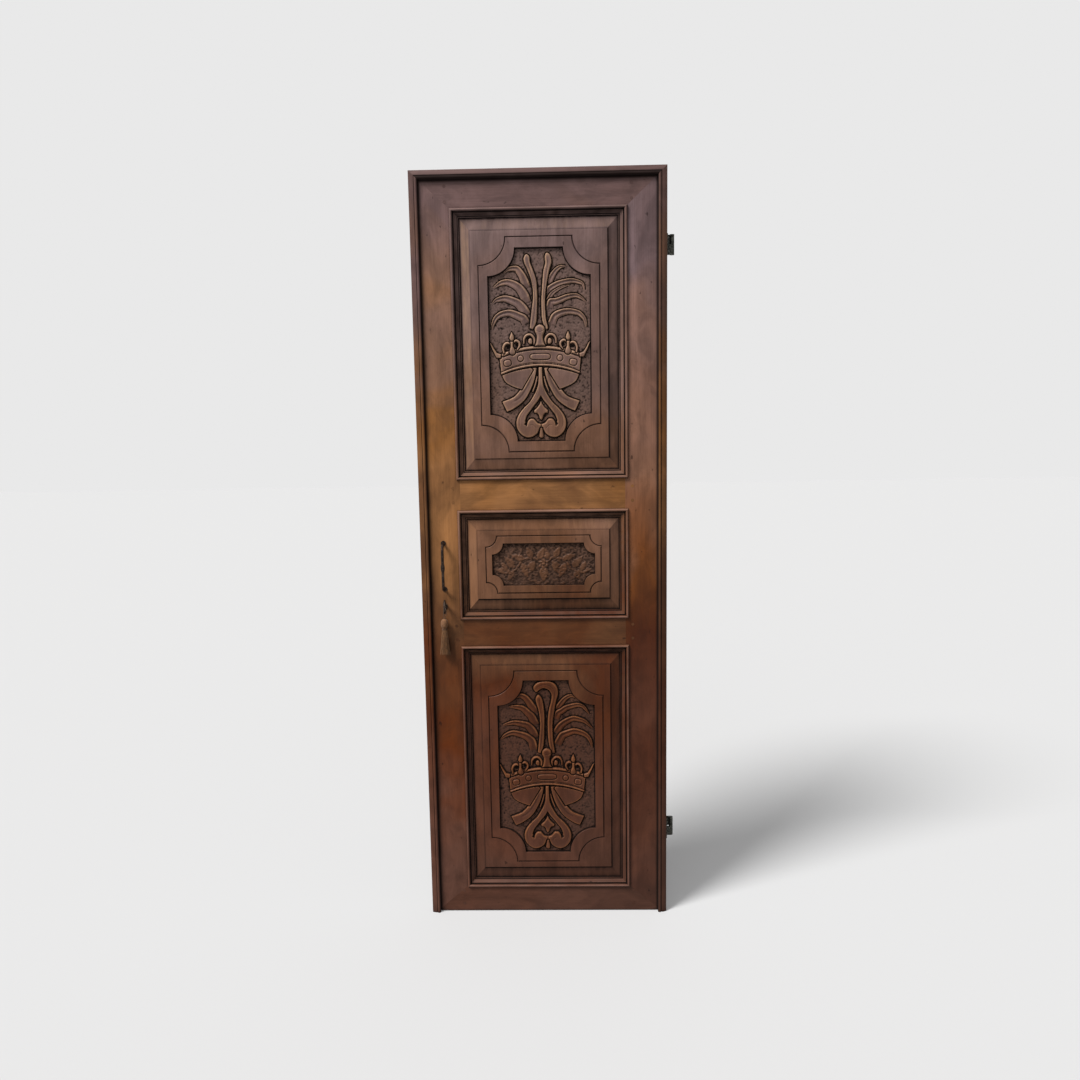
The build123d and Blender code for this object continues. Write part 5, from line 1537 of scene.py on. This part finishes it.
# %% What the eye sees and what lights the door
def seen_by_eye(nodes, links):
    """One for rays that show a thing: straight to the eye, mirrored or through glass."""
    path = nodes.new("ShaderNodeLightPath")
    seen = path.outputs["Is Camera Ray"]
    for name in ("Is Glossy Ray", "Is Transmission Ray"):
        either = nodes.new("ShaderNodeMath")
        either.operation = "MAXIMUM"
        links.new(seen, either.inputs[0])
        links.new(path.outputs[name], either.inputs[1])
        seen = either.outputs[0]
    return seen


def show_to_eye(nodes, links, unseen, shown, surface):
    """Puts one shader on a surface for stray light, and another for the eye."""
    mix = nodes.new("ShaderNodeMixShader")
    links.new(seen_by_eye(nodes, links), mix.inputs[0])
    links.new(unseen.outputs[0], mix.inputs[1])
    links.new(shown.outputs[0], mix.inputs[2])
    links.new(mix.outputs[0], surface)


print("helpers for the room are ready")


# %% Floor
PAPER = (0.486, 0.489, 0.4965, 1)
PAPER_GLOW = 0.145
FLOOR_REACH = 14.0


def floor_finish():
    """Pale paper to the eye, with the door's shadow on it, and a duller floor for stray light."""
    finish = Finish("pale_floor", 0.9)
    nodes, links = finish.nodes, finish.links
    finish.shader.inputs["Specular IOR Level"].default_value = 0.05
    finish.shader.inputs["Base Color"].default_value = (0.2, 0.2, 0.2, 1)
    paper, glow, both = (nodes.new(f"ShaderNode{kind}") for kind in ("BsdfDiffuse", "Emission", "AddShader"))
    paper.inputs["Color"].default_value = PAPER
    glow.inputs["Color"].default_value = (1, 1, 1, 1)
    glow.inputs["Strength"].default_value = PAPER_GLOW
    links.new(paper.outputs[0], both.inputs[0])
    links.new(glow.outputs[0], both.inputs[1])
    show_to_eye(nodes, links, finish.shader, both, nodes["Material Output"].inputs["Surface"])
    return finish.material


def make_floor():
    """A large pale floor just under the door's feet."""
    mesh = bpy.data.meshes.new("floor")
    corners = [(x, y, 0) for x, y in rectangle(FLOOR_REACH, FLOOR_REACH)]
    mesh.from_pydata(corners[2:] + corners[:2], [], [(0, 1, 2, 3)])
    floor = bpy.data.objects.new("floor", mesh)
    scene.collection.objects.link(floor)
    wear(floor, floor_finish())


make_floor()
print("floor", 2 * FLOOR_REACH, "metres wide")


# %% Room and light
def distant_lamp(name, toward_lamp, power, softness, colour=(1, 1, 1)):
    """A soft lamp so far off that it lights the whole floor evenly."""
    data = bpy.data.lights.new(name, "SUN")
    data.energy = power
    data.angle = math.radians(softness)
    data.color = colour
    light = bpy.data.objects.new(name, data)
    scene.collection.objects.link(light)
    light.rotation_euler = Vector(toward_lamp).to_track_quat("Z", "Y").to_euler()
    return light


def make_room():
    """White behind everything, and a dim even glow from all round."""
    world = bpy.data.worlds.new("room")
    scene.world = world
    world.use_nodes = True
    nodes, links = world.node_tree.nodes, world.node_tree.links
    nodes.clear()
    glow, white = nodes.new("ShaderNodeBackground"), nodes.new("ShaderNodeBackground")
    glow.inputs["Color"].default_value = (1, 0.99, 0.98, 1)
    glow.inputs["Strength"].default_value = 0.25
    white.inputs["Color"].default_value = (0.815, 0.814, 0.814, 1)
    white.inputs["Strength"].default_value = 1.0
    out = nodes.new("ShaderNodeOutputWorld")
    show_to_eye(nodes, links, glow, white, out.inputs["Surface"])


make_room()
lamps = [distant_lamp("high_left", (-0.66, -0.545, 1.0), 4.3, 20.0, (1.0, 0.99, 0.97)),
         distant_lamp("from_the_front", (-0.3, -1.0, 0.75), 0.6, 50.0)]
scene.view_settings.view_transform = "Standard"
print("lamps:", [lamp.name for lamp in lamps])


# %% [markdown]
# That is the whole door: its boards, carving, mouldings, iron, tassel and room.

# %% The end
print("the door is dressed")
